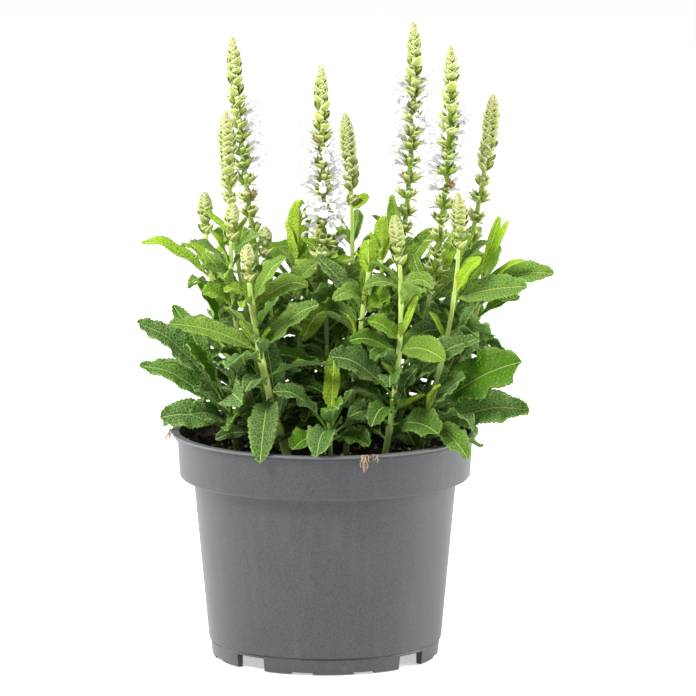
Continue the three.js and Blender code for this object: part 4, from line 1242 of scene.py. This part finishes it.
def box_rings(degrees, width, inner, outer, low, high):
    """The bottom and top of a box between two radii and two heights, placed in degrees round the pot."""
    angle = np.radians(degrees + POT_TURN - 90)
    radial = np.array([np.cos(angle), np.sin(angle), 0])
    aside = np.array([-radial[1], radial[0], 0])
    corners = np.array([[-1, -1], [1, -1], [1, 1], [-1, 1]])
    middle, half = (inner + outer) / 2, (outer - inner) / 2
    flat = radial * (middle + corners[:, :1] * half) + aside * corners[:, 1:] * width / 2
    return np.stack([flat + [0, 0, low], flat + [0, 0, high]])


def foot_cuts(finish):
    """Boxes where the foot has its notches and steps, and the floor a drain slot behind each notch."""
    cutter = Skin(finish)
    foot_inner = FOOT_RADIUS - FOOT_WALL
    for cut in (NOTCH, STEP_CUT):
        wide = 2 * FOOT_RADIUS * np.tan(np.radians(cut["width"] / 2))
        for degrees in cut["angles"]:
            rings = box_rings(degrees, wide, foot_inner - 2, LIP_RADIUS, -1, cut["height"])
            cutter.add(*tube(rings), finish)
    for degrees in NOTCH["angles"]:
        low, high = FOOT_HEIGHT - 4, FOOT_HEIGHT + 4
        rings = box_rings(degrees, DRAIN_WIDTH, foot_inner - 18, foot_inner - 6, low, high)
        cutter.add(*tube(rings), finish)
    return cutter.mesh("foot_cuts")


def make_pot(finish):
    """The pot's profile turned about the axis, with the foot's cuts taken out of it."""
    outline = rounded_profile(pot_profile(), CORNER_ROUNDING)
    angle = ring_angles(128)
    radius, height = outline[:, :1], outline[:, 1:]
    rings = np.stack([radius * np.cos(angle), radius * np.sin(angle), height + 0 * angle], -1)
    under_floor, floor_top = UPWARDS * (FOOT_HEIGHT - 1.0), UPWARDS * (FOOT_HEIGHT + WALL)
    skin = Skin(finish)
    skin.add(*tube(rings, under_floor, floor_top), finish)
    pot = skin.piece("nursery_pot", "pot_plastic", ["pot"])

    tool = bpy.data.objects.new("foot_cuts", foot_cuts(finish))
    bpy.context.scene.collection.objects.link(tool)
    difference = pot.modifiers.new("foot_cuts", "BOOLEAN")
    difference.object, difference.operation, difference.solver = tool, "DIFFERENCE", "EXACT"
    bpy.context.view_layer.update()
    cut_mesh = bpy.data.meshes.new_from_object(pot.evaluated_get(bpy.context.evaluated_depsgraph_get()))
    pot.modifiers.clear()
    pot.data = cut_mesh
    bpy.data.objects.remove(tool)
    pot.data.polygons.foreach_set("use_smooth", np.ones(len(pot.data.polygons), bool))
    pot.data.set_sharp_from_angle(angle=np.radians(32))


# ---- soil -------------------------------------------------------------------------------------------------
def soil_height(x, y):
    """The soil's surface: two long waves, as the stems stand in it, with three shorter ones over them."""
    long = SOIL_BUMP * (0.6 * np.sin(x / 7 + 1) * np.cos(y / 6) + 0.4 * np.sin((x + y) / 3.7))
    short = 0.5 * np.sin(x / 1.9 + 2 * np.sin(y / 2.3)) + 0.4 * np.sin(y / 1.3 + 2 * np.sin(x / 1.7))
    return SOIL_LEVEL + long + 0.5 * (short + 0.3 * np.sin((x - y) / 0.9))


def soil_edge():
    """The soil's radius: just short of the pot's inside at the soil's level."""
    share = (SOIL_LEVEL - POT_HEIGHT + BAND_HEIGHT) / BAND_HEIGHT
    return lerp(BAND_BOTTOM_RADIUS, BAND_TOP_RADIUS, share) - WALL - 0.15


def soil_creep(radius, edge):
    """How far the soil creeps up the wall."""
    return SOIL_CREEP * smooth(0.9, 1.0, radius / edge)


def make_soil_surface(finish, edge):
    """The uneven top of the soil, on a round block that reaches down into the pot."""
    around, rows = 120, 56
    angle = ring_angles(around)
    radius = edge * np.linspace(1, 0.02, rows)[:, None]
    x, y = radius * np.cos(angle), radius * np.sin(angle)
    top = np.stack([x, y, soil_height(x, y) + soil_creep(radius, edge)], -1)
    bottom = SOIL_LEVEL - SOIL_DEPTH
    wall = np.stack([x[:1], y[:1], np.full((1, around), bottom)], -1)
    skin = Skin(finish)
    skin.add(*tube(np.concatenate([wall, top]), UPWARDS * bottom, UPWARDS * (SOIL_LEVEL + 0.5)), finish)
    skin.piece("potting_soil_surface", "soil", ["potting_soil"])


def crumb_form():
    """A small lump: an octahedron, each corner pulled in or out when it is placed."""
    points = np.array([[1, 0, 0], [0, 1, 0], [-1, 0, 0], [0, -1, 0], [0, 0, 1], [0, 0, -1]], float)
    faces = [[0, 1, 4], [1, 2, 4], [2, 3, 4], [3, 0, 4], [1, 0, 5], [2, 1, 5], [3, 2, 5], [0, 3, 5]]
    return points, np.array(faces)


def make_crumbs(rng, edge, crumb, root, perlite):
    """Lumps strewn over the soil: crumbs, perlite, and slim bits of root, each with its own shape."""
    bits = Skin(crumb, root, perlite)
    form, faces = crumb_form()
    # how many, from what size to what size, of what, how far out, and how slim
    kinds = (
        (1500, (0.5, 1.5), crumb, 1.0, np.ones(3)),
        (110, (0.6, 1.3), perlite, 1.0, np.ones(3)),
        (90, (0.8, 2.0), root, 0.9, np.array([1.6, 0.35, 0.3])),
    )
    for count, size, finish, spread, slim in kinds:
        radius = edge * np.sqrt(rng.uniform(0.02, 1, count)) * spread * 0.985
        angle = rng.uniform(0, 2 * np.pi, count)
        x, y = radius * np.cos(angle), radius * np.sin(angle)
        big = rng.uniform(*size, count)
        at = np.column_stack([x, y, soil_height(x, y) + 0.25 * big + soil_creep(radius, edge)])
        at[:, :2] *= np.minimum(1, (edge - big) / np.maximum(radius, 1e-6))[:, None]
        spin = rng.uniform(0, 2 * np.pi, count)
        shape = form[None] * rng.uniform(0.6, 1.25, (count, 6, 3)) * big[:, None, None] * slim
        cos, sin = np.cos(spin)[:, None], np.sin(spin)[:, None]
        x, y, z = shape[..., 0], shape[..., 1], shape[..., 2]
        points = at[:, None] + np.stack([x * cos - y * sin, x * sin + y * cos, z], -1)
        corner = (faces[None] + 6 * np.arange(count)[:, None, None]).reshape(-1, 3)
        bits.add(points.reshape(-1, 3), [corner], finish, own=np.repeat(rng.uniform(0, 1, count), 6))
    bits.piece("soil_crumbs", "soil")


def add_fibre(skin, finish, start, end, thick, wander, seed):
    """A fine root: a straight run with three slow sine bends, thinner towards its end."""
    rng = np.random.default_rng(seed)
    phases = rng.uniform(0, 2 * np.pi, 3)
    start, end = np.array(start, float), np.array(end, float)
    t = np.linspace(0, 1, 12)[:, None]
    bends = [np.sin(5 * t + phases[0]), np.sin(6 * t + phases[1]), 0.5 * np.sin(7 * t + phases[2])]
    line = lerp(start, end, t) + wander * np.sin(np.pi * t) * np.concatenate(bends, 1)
    width = (thick * (1 - 0.6 * t))[..., None]
    side = unit(np.cross(end - start, UPWARDS))
    up = unit(np.cross(side, end - start))
    angle = ring_angles(5)[:, None]
    rings = line[:, None] + width * (up * np.cos(angle) + side * np.sin(angle))
    skin.add(*tube(rings), finish, own=rng.uniform(0, 1))


def make_roots(rng, edge, finish):
    """Fine roots that lie on the soil, and roots over the lip, each in two runs that meet on it."""
    fibres = Skin(finish)
    for n in range(LYING_ROOTS):
        angle, radius = rng.uniform(0, 2 * np.pi), edge * np.sqrt(rng.uniform(0.1, 0.9))
        turn, long = rng.uniform(0, 2 * np.pi), rng.uniform(5, 15)
        start = np.array([radius * np.cos(angle), radius * np.sin(angle)])
        end = start + long * np.array([np.cos(turn), np.sin(turn)])
        end = end * min(1, (edge - 1.5) / np.linalg.norm(end))
        start = [*start, soil_height(*start) + rng.uniform(0.2, 1.2)]
        end = [*end, soil_height(*end) + 0.3]
        add_fibre(fibres, finish, start, end, rng.uniform(0.15, 0.32), 1.5, n)
    for angle, count, longest in HANGING_ROOTS:
        for n in range(count):
            turn = angle + 0.035 * (rng.uniform() - 0.5)
            out = np.array([np.sin(turn), -np.cos(turn), 0])
            over = out * (LIP_RADIUS + rng.uniform(0.2, 1.0)) + [0, 0, POT_HEIGHT + rng.uniform(0.3, 1.0)]
            inside = out * (LIP_RADIUS - rng.uniform(6, 11))
            inside = inside + [rng.uniform(-3, 3), 0, SOIL_LEVEL + rng.uniform(1, 4)]
            hang = over + out * rng.uniform(0.3, 2.0) + [rng.uniform(-1.5, 1.5), 0, -rng.uniform(3, longest)]
            add_fibre(fibres, finish, over, inside, rng.uniform(0.25, 0.4), 0.7, 300 + n)
            add_fibre(fibres, finish, over, hang, rng.uniform(0.3, 0.55), 0.6, 400 + n)
    fibres.piece("fine_roots", "soil")


def make_soil(soil, crumb, root, perlite):
    """The soil's surface, then what lies on it and the roots, which share one run of seeded draws."""
    edge = soil_edge()
    make_soil_surface(soil, edge)
    rng = np.random.default_rng(7)
    make_crumbs(rng, edge, crumb, root, perlite)
    make_roots(rng, edge, root)


# ---- materials --------------------------------------------------------------------------------------------
class Value:
    """One output of a node, with arithmetic that adds Math nodes."""

    def __init__(self, finish, socket):
        self.finish, self.socket = finish, socket

    def math(self, operation, *values):
        """A Math node's output for the values."""
        return self.finish.node("ShaderNodeMath", {"operation": operation}, dict(enumerate(values)))

    def __add__(self, other):
        return self.math("ADD", self, other)

    def __radd__(self, other):
        return self.math("ADD", other, self)

    def __sub__(self, other):
        return self.math("SUBTRACT", self, other)

    def __rsub__(self, other):
        return self.math("SUBTRACT", other, self)

    def __mul__(self, other):
        return self.math("MULTIPLY", self, other)

    def __rmul__(self, other):
        return self.math("MULTIPLY", other, self)

    def __truediv__(self, other):
        return self.math("DIVIDE", self, other)

    def __abs__(self):
        return self.math("ABSOLUTE", self)

    def fraction(self):
        """The value less its whole part."""
        return self.math("FRACT", self)

    def steps(self, low, high, to_low=0.0, to_high=1.0):
        """A smooth step from to_low at low to to_high at high."""
        limits = {"Value": self, "From Min": low, "From Max": high, "To Min": to_low, "To Max": to_high}
        return self.finish.node("ShaderNodeMapRange", {"interpolation_type": "SMOOTHSTEP"}, limits)


class Finish:
    """A material made of nodes."""

    def __init__(self, name):
        self.material = bpy.data.materials.new(name)
        self.material.use_nodes = True
        self.tree = self.material.node_tree
        self.tree.nodes.clear()

    def node(self, kind, settings=None, inputs=None, output=0):
        """An output of a new node, once its settings are set and its inputs fed."""
        node = self.tree.nodes.new(kind)
        for name, value in (settings or {}).items():
            setattr(node, name, value)
        for name, value in (inputs or {}).items():
            self.feed(node.inputs[name], value)
        return Value(self, node.outputs[output])

    def feed(self, socket, value):
        """Links the value to a node's input, or sets the input where the value is a number or a colour."""
        if isinstance(value, Value):
            self.tree.links.new(value.socket, socket)
        else:
            socket.default_value = value

    def coordinates(self, kind="Object"):
        """Texture coordinates of one kind."""
        return self.node("ShaderNodeTexCoord", output=kind)

    def tone(self, name):
        """A tone that the mesh has at its points."""
        return self.node("ShaderNodeAttribute", {"attribute_name": name}, output="Fac")

    def tones(self, *names):
        """Several tones, in the order named."""
        return [self.tone(name) for name in names]

    def parts(self, vector):
        """A vector's x, y and z."""
        split = self.node("ShaderNodeSeparateXYZ", inputs={0: vector})
        return [Value(self, output) for output in split.socket.node.outputs]

    def scaled(self, vector, by):
        """A vector times another, part by part."""
        return self.node("ShaderNodeVectorMath", {"operation": "MULTIPLY"}, {0: vector, 1: by})

    def noise(self, vector, scale, detail=3.0, roughness=0.55):
        """Cloudy noise from 0 to 1, with so many repeats of the cloud in a unit."""
        inputs = {"Vector": vector, "Scale": scale, "Detail": detail, "Roughness": roughness}
        return self.node("ShaderNodeTexNoise", inputs=inputs)

    def cells(self, vector, scale):
        """How far it is to the edge of a cell, in a flat pattern of cells."""
        settings = {"feature": "DISTANCE_TO_EDGE", "voronoi_dimensions": "2D"}
        return self.node("ShaderNodeTexVoronoi", settings, {"Vector": vector, "Scale": scale})

    def mix(self, share, a, b):
        """Colour a where share is 0 and b where it is 1."""
        node = self.tree.nodes.new("ShaderNodeMix")
        node.data_type = "RGBA"
        colours = [socket for socket in node.inputs if socket.type == "RGBA"]
        self.feed(node.inputs[0], share)
        for socket, colour in zip(colours, (a, b)):
            self.feed(socket, colour if isinstance(colour, Value) else (*colour, 1.0))
        return Value(self, next(socket for socket in node.outputs if socket.type == "RGBA"))

    def bump(self, height, distance, strength=1.0):
        """The normal, tilted as if a height of 1 stood the distance off the surface, in metres."""
        inputs = {"Height": height, "Distance": distance, "Strength": strength}
        return self.node("ShaderNodeBump", inputs=inputs)

    def surface(self, **inputs):
        """The finished material. A name's underscores stand for the spaces in an input's name."""
        inputs = {name.replace("_", " "): value for name, value in inputs.items()}
        shader = self.node("ShaderNodeBsdfPrincipled", inputs=inputs)
        output = self.tree.nodes.new("ShaderNodeOutputMaterial")
        self.tree.links.new(shader.socket, output.inputs["Surface"])
        return self.material


def foliage_finish():
    """Grey-green wrinkled blades: thin pale midrib and side veins, a light net over dark cells, a light
    frosted edge, and fresher, smoother colour on young leaves. Leaves deep in the plant get painted shade:
    a darker green, with less of the light net, speckle, pillows and edge."""
    f = Finish("salvia_leaf")
    place = f.coordinates("UV")
    across, along, _ = f.parts(place)
    out = abs(across)
    young, under, own, petiole = f.tones("young", "under", "own", "petiole")
    edge, raised, deep = f.tones("edge", "raised", "deep")
    q = ((along - out * SIDE_VEIN_SLANT) / SIDE_VEIN_SPACING + 0.5).fraction() - 0.5
    side_vein = abs(q).steps(0.02, 0.10, 1.0, 0.0) * out.steps(0.3, 5.0, 1.0, 0.2)
    midrib = out.steps(0.16, 0.42, 1.0, 0.0)
    net = f.cells(f.scaled(place, (1.0, 0.85, 1.0)), 0.56)
    small_net = f.cells(place, 1.25)
    fine = f.noise(place, 1.3, 3.0, 0.7)
    patches = f.noise(f.coordinates(), 38.0, 3.0)
    patchy, more_patchy = patches.steps(0.35, 0.7), patches.steps(0.3, 0.7)

    cool = f.mix(patchy, (0.015, 0.050, 0.004), (0.028, 0.076, 0.007))
    middle = f.mix(patchy, (0.020, 0.066, 0.001), (0.038, 0.104, 0.002))
    vivid = f.mix(more_patchy, (0.036, 0.115, 0.001), (0.080, 0.180, 0.001))
    grown = f.mix(own.steps(0.70, 0.92), f.mix(own.steps(0.2, 0.5), cool, middle), vivid)
    # painted shade: the dark green that leaves deep in the plant and near the soil are mixed towards
    painted_shade_colour = f.mix(patchy, (0.006, 0.032, 0.001), (0.012, 0.052, 0.001))
    fresh = f.mix(more_patchy, (0.17, 0.32, 0.003), (0.32, 0.46, 0.012))
    blade = f.mix(young, f.mix(deep * 0.8, grown, painted_shade_colour), fresh)

    lines = net.steps(0.01, 0.12, 1.0, 0.0) * 0.62 + small_net.steps(0.02, 0.22, 1.0, 0.0) * 0.42
    # here and below, painted shade also dims the light net, the speckle, the pillows and the edge
    lines = lines * (1 - young * 0.6) * own.steps(0.5, 0.9, 1.0, 0.6) * (1 - deep * 0.65)
    frost = f.mix(own.steps(0.5, 0.9), (0.205, 0.310, 0.100), (0.160, 0.300, 0.020))
    frost = f.mix(young, frost, (0.40, 0.54, 0.07))
    blade = f.mix(lines, blade, frost)
    blade = f.mix(fine.steps(0.50, 0.72) * 0.2 * (1 - deep * 0.7), blade, frost)
    blade = f.mix(raised.steps(0.1, 0.6) * 0.15 * (1 - deep), blade, frost)

    blade = f.mix(side_vein * 0.3, blade, f.mix(young, (0.20, 0.33, 0.07), (0.45, 0.60, 0.12)))
    blade = f.mix(midrib * 0.75, blade, f.mix(young, (0.34, 0.47, 0.13), (0.56, 0.68, 0.17)))
    blade = f.mix(under * 0.45, blade, f.mix(young, (0.15, 0.26, 0.075), (0.36, 0.50, 0.06)))
    blade = f.mix(edge * (1 - young) * (1 - deep * 0.6) * 0.5, blade, (0.30, 0.41, 0.12))
    colour = f.mix(petiole * 0.85, blade, f.mix(young, (0.14, 0.26, 0.035), (0.36, 0.50, 0.07)))
    relief = net * 2.0 + small_net * 0.5 + fine * 0.5 - side_vein * 0.5 - midrib * 0.5
    return f.surface(Base_Color=colour, Roughness=0.66 - 0.16 * young, Normal=f.bump(relief, 0.0006, 0.9),
                     Subsurface_Weight=0.3, Subsurface_Radius=(0.35, 1.0, 0.06), Subsurface_Scale=0.0012,
                     Specular_IOR_Level=0.14)


def stem_finish():
    """Yellow-green stems, duller green low down and on old stems, paler at their ridges and joints."""
    f = Finish("salvia_stem")
    young, knot, ridge = f.tones("young", "knot", "ridge")
    streak = f.noise(f.scaled(f.coordinates(), (1.0, 1.0, 0.08)), 900.0, 2.0)
    base = f.mix(young, (0.07, 0.15, 0.02), (0.34, 0.46, 0.085))
    colour = f.mix(knot * 0.35, base, (0.42, 0.52, 0.15))
    pale = streak.steps(0.45, 0.75) * 0.25 * young + ridge.steps(0.5, 1.0) * 0.14
    colour = f.mix(pale, colour, (0.54, 0.64, 0.26))
    return f.surface(Base_Color=colour, Roughness=0.5, Normal=f.bump(streak, 0.0002, 0.5),
                     Subsurface_Weight=0.15, Subsurface_Radius=(0.5, 1.0, 0.2), Subsurface_Scale=0.001,
                     Specular_IOR_Level=0.4)


def spike_finish():
    """Pale yellow-green bracts with cream rims and green feet, and ribbed calyces with painted shade inside
    them; the rachis's core in the dense head gets the same painted shade. A few calyces are withered."""
    f = Finish("salvia_spike")
    green, rim, rust, inner, pale, tan = f.tones("green", "rim", "rust", "inner", "pale", "tan")
    grain = f.noise(f.coordinates(), 900.0, 3.0, 0.65)
    patches = f.noise(f.coordinates(), 130.0, 2.0)
    light = f.mix(patches.steps(0.35, 0.65), (0.290, 0.335, 0.062), (0.375, 0.410, 0.115))
    light = f.mix(pale * 0.6, light, (0.40, 0.385, 0.190))
    light = f.mix(patches.steps(0.45, 0.7) * tan * 0.6, light, (0.36, 0.29, 0.13))
    colour = f.mix(green, light, (0.115, 0.200, 0.010))
    colour = f.mix(grain.steps(0.5, 0.75) * 0.25, colour, (0.50, 0.55, 0.25))
    colour = f.mix(rim.steps(0.4, 1.0) * 0.75, colour, (0.60, 0.62, 0.38))
    # painted shade: a dark green inside the calyces and on the core within the dense head
    colour = f.mix(inner, colour, (0.050, 0.110, 0.005))
    colour = f.mix(rust * patches.steps(0.3, 0.6, 0.5, 1.0), colour, (0.23, 0.14, 0.075))
    return f.surface(Base_Color=colour, Roughness=0.6, Normal=f.bump(grain, 0.0003, 0.7),
                     Subsurface_Weight=0.15, Subsurface_Radius=(0.6, 1.0, 0.2), Subsurface_Scale=0.0008,
                     Specular_IOR_Level=0.2)


def petal_finish():
    """White petals with painted shade, greyer green, in the throat and towards the feet of the lobes, and a
    weak painted glow that stands in for the light that passes through them.
    """
    f = Finish("white_petal")
    vein = f.noise(f.coordinates(), 1200.0, 2.0)
    # painted shade: greyer green where the inner tone is marked
    shade = f.tone("inner") * vein.steps(0.3, 0.8, 0.3, 1.0)
    colour = f.mix(shade, (0.54, 0.54, 0.545), (0.34, 0.38, 0.28))
    # painted glow: the emission lifts the petals' shade, though they are no lamp
    return f.surface(Base_Color=colour, Roughness=0.5, Normal=f.bump(vein, 0.0001, 0.4),
                     Subsurface_Weight=0.9, Subsurface_Radius=(1.0, 1.0, 1.0), Subsurface_Scale=0.004,
                     Specular_IOR_Level=0.15, Emission_Color=(0.95, 0.97, 1.0, 1.0), Emission_Strength=0.12)


def grainy_finish(name, dark, light, scale, roughness, bump):
    """A rough grain: two colours mixed by noise, and by each bit's own tone."""
    f = Finish(name)
    grain = f.noise(f.coordinates(), scale, 4.0, 0.65)
    colour = f.mix(grain.steps(0.3, 0.75) * 0.6 + f.tone("own") * 0.4, dark, light)
    return f.surface(Base_Color=colour, Roughness=roughness, Normal=f.bump(grain, bump),
                     Specular_IOR_Level=0.3)


def pot_finish():
    """Mid-grey moulded plastic with a fine light and dark speckle, faint streaks down the wall, a painted
    highlight along the top of the lip, and dust by the foot and near the lip."""
    f = Finish("grey_pot_plastic")
    place = f.coordinates()
    speck = f.noise(place, 1500.0, 2.0, 0.7)
    streak = f.noise(f.scaled(place, (1.0, 1.0, 0.12)), 160.0, 3.0)
    cloud = f.noise(place, 24.0, 3.0)
    dust = f.noise(place, 420.0, 3.0, 0.7)
    _, _, height = f.parts(place)
    dusty = height.steps(0.004, 0.020, 1.6, 0.0) + height.steps(0.118, 0.1255, 0.0, 0.5)
    # painted highlight: the top of the lip is mixed halfway to a light grey
    painted_lip_highlight = height.steps(0.1243, 0.1250)
    colour = f.mix(speck.steps(0.33, 0.68), (0.0110, 0.0129, 0.0146), (0.0330, 0.0368, 0.0398))
    colour = f.mix(streak.steps(0.45, 0.8) * 0.25, colour, (0.052, 0.056, 0.059))
    colour = f.mix(cloud.steps(0.5, 0.8) * 0.15, colour, (0.045, 0.049, 0.051))
    colour = f.mix(painted_lip_highlight * 0.5, colour, (0.15, 0.16, 0.165))
    colour = f.mix(dust.steps(0.58, 0.72) * dusty * 0.5, colour, (0.055, 0.042, 0.032))
    return f.surface(Base_Color=colour, Roughness=speck.steps(0.2, 0.8, 0.34, 0.46) + streak * 0.06,
                     Normal=f.bump(speck, 0.00012, 0.35), Specular_IOR_Level=0.46)


# ---- assembly ---------------------------------------------------------------------------------------------
def late_youth(leaf, seed):
    """How fresh a leaf is that has no tone of its own: more, the higher it grows, with a seeded draw."""
    return float(np.clip((leaf.root[2] - 170) / 70, 0, 0.5) * (0.2 + 0.9 * draw(seed + 0.5)))


leaf_finish, stalk_finish = foliage_finish(), stem_finish()
spike_green, petal = spike_finish(), petal_finish()
anther = grainy_finish("anther", (0.46, 0.43, 0.38), (0.60, 0.57, 0.52), 2000.0, 0.7, 0.0001)
make_pot(pot_finish())
make_soil(
    grainy_finish("potting_soil", (0.004, 0.003, 0.002), (0.026, 0.015, 0.009), 420.0, 0.95, 0.0008),
    grainy_finish("peat_crumb", (0.006, 0.004, 0.003), (0.055, 0.030, 0.017), 500.0, 0.95, 0.0004),
    grainy_finish("root_fibre", (0.17, 0.105, 0.065), (0.36, 0.26, 0.18), 700.0, 0.8, 0.0002),
    grainy_finish("perlite", (0.55, 0.53, 0.48), (0.80, 0.79, 0.74), 900.0, 0.9, 0.0003),
)

seed = 0
for shoot in grow_plant():
    label = {"tuft": "leafy_tuft_", "leaves": "young_stem_"}.get(shoot.kind, "flowering_stem_") + shoot.name
    plant = Skin(leaf_finish, stalk_finish)
    add_stem(plant, shoot, stalk_finish)
    for leaf in shoot.leaves:
        seed += 1
        leaf.young = leaf.young or late_youth(leaf, seed)
        add_leaf(plant, leaf, leaf_finish, seed)
    slot = "young_foliage" if shoot.name in BRIGHT_STEMS else "foliage"
    plant.piece("foliage_" + label, slot, [label])
    if shoot.spike:
        spike = Skin(spike_green)
        add_spike(spike, shoot, spike_green)
        spike.piece("bracts_and_calyces_" + shoot.name, "flower_spikes", ["flower_spike_" + shoot.name])
    if shoot.name in BLOOM:
        florets = Skin(petal, anther)
        add_florets(florets, shoot, petal, anther)
        florets.piece("florets_" + shoot.name, "flower_spikes")

# ---- floor, light and camera ------------------------------------------------------------------------------
FLOOR_REACH = 9000.0
floor_points = FLOOR_REACH * np.array([[-1, -1, 0], [1, -1, 0], [1, 1, 0], [-1, 1, 0]])
floor_finish = Finish("pale_floor").surface(Base_Color=(0.9, 0.9, 0.9, 1), Roughness=0.6,
                                            Emission_Color=(1, 1, 1, 1), Emission_Strength=0.52)
floor_skin = Skin(floor_finish)
floor_skin.add(floor_points, [np.array([[0, 1, 2, 3]])], floor_finish)
floor = bpy.data.objects.new("floor", floor_skin.mesh("floor"))
floor.location.z = -0.0005
bpy.context.scene.collection.objects.link(floor)

world = bpy.data.worlds.new("studio")
bpy.context.scene.world = world
world.use_nodes = True
world.node_tree.nodes["Background"].inputs["Color"].default_value = (1, 1, 1, 1)
world.node_tree.nodes["Background"].inputs["Strength"].default_value = 0.44


def softbox(name, place, size, power):
    """A rectangular lamp that faces the middle of the plant."""
    light = bpy.data.lights.new(name, "AREA")
    light.shape, light.size, light.size_y, light.energy = "RECTANGLE", *size, power
    lamp = bpy.data.objects.new(name, light)
    lamp.location = place
    lamp.rotation_euler = (Vector((0, 0, 0.17)) - Vector(place)).to_track_quat("-Z", "Y").to_euler()
    bpy.context.scene.collection.objects.link(lamp)


softbox("key_softbox", (-0.8, -0.9, 1.3), (0.5, 0.5), 44)
softbox("fill_softbox", (1.2, -0.8, 0.7), (0.8, 0.8), 7)
softbox("left_softbox", (-1.3, 0.35, 0.5), (0.9, 1.3), 20)
softbox("right_softbox", (1.3, 0.15, 0.5), (0.9, 1.3), 30)
bpy.context.scene.view_settings.view_transform = "Standard"

camera = bpy.data.cameras.new("camera")
camera.sensor_width, camera.lens = 36.0, 375.0
camera.clip_start, camera.clip_end = 0.1, 100.0
eye = bpy.data.objects.new("camera", camera)
elevation, distance = np.radians(9.5), 4.0
target = Vector((-0.0008, -0.0054, 0.1712))
eye.location = target + Vector((0, -distance * np.cos(elevation), distance * np.sin(elevation)))
eye.rotation_euler = (target - eye.location).to_track_quat("-Z", "Y").to_euler()
bpy.context.scene.collection.objects.link(eye)
bpy.context.scene.camera = eye
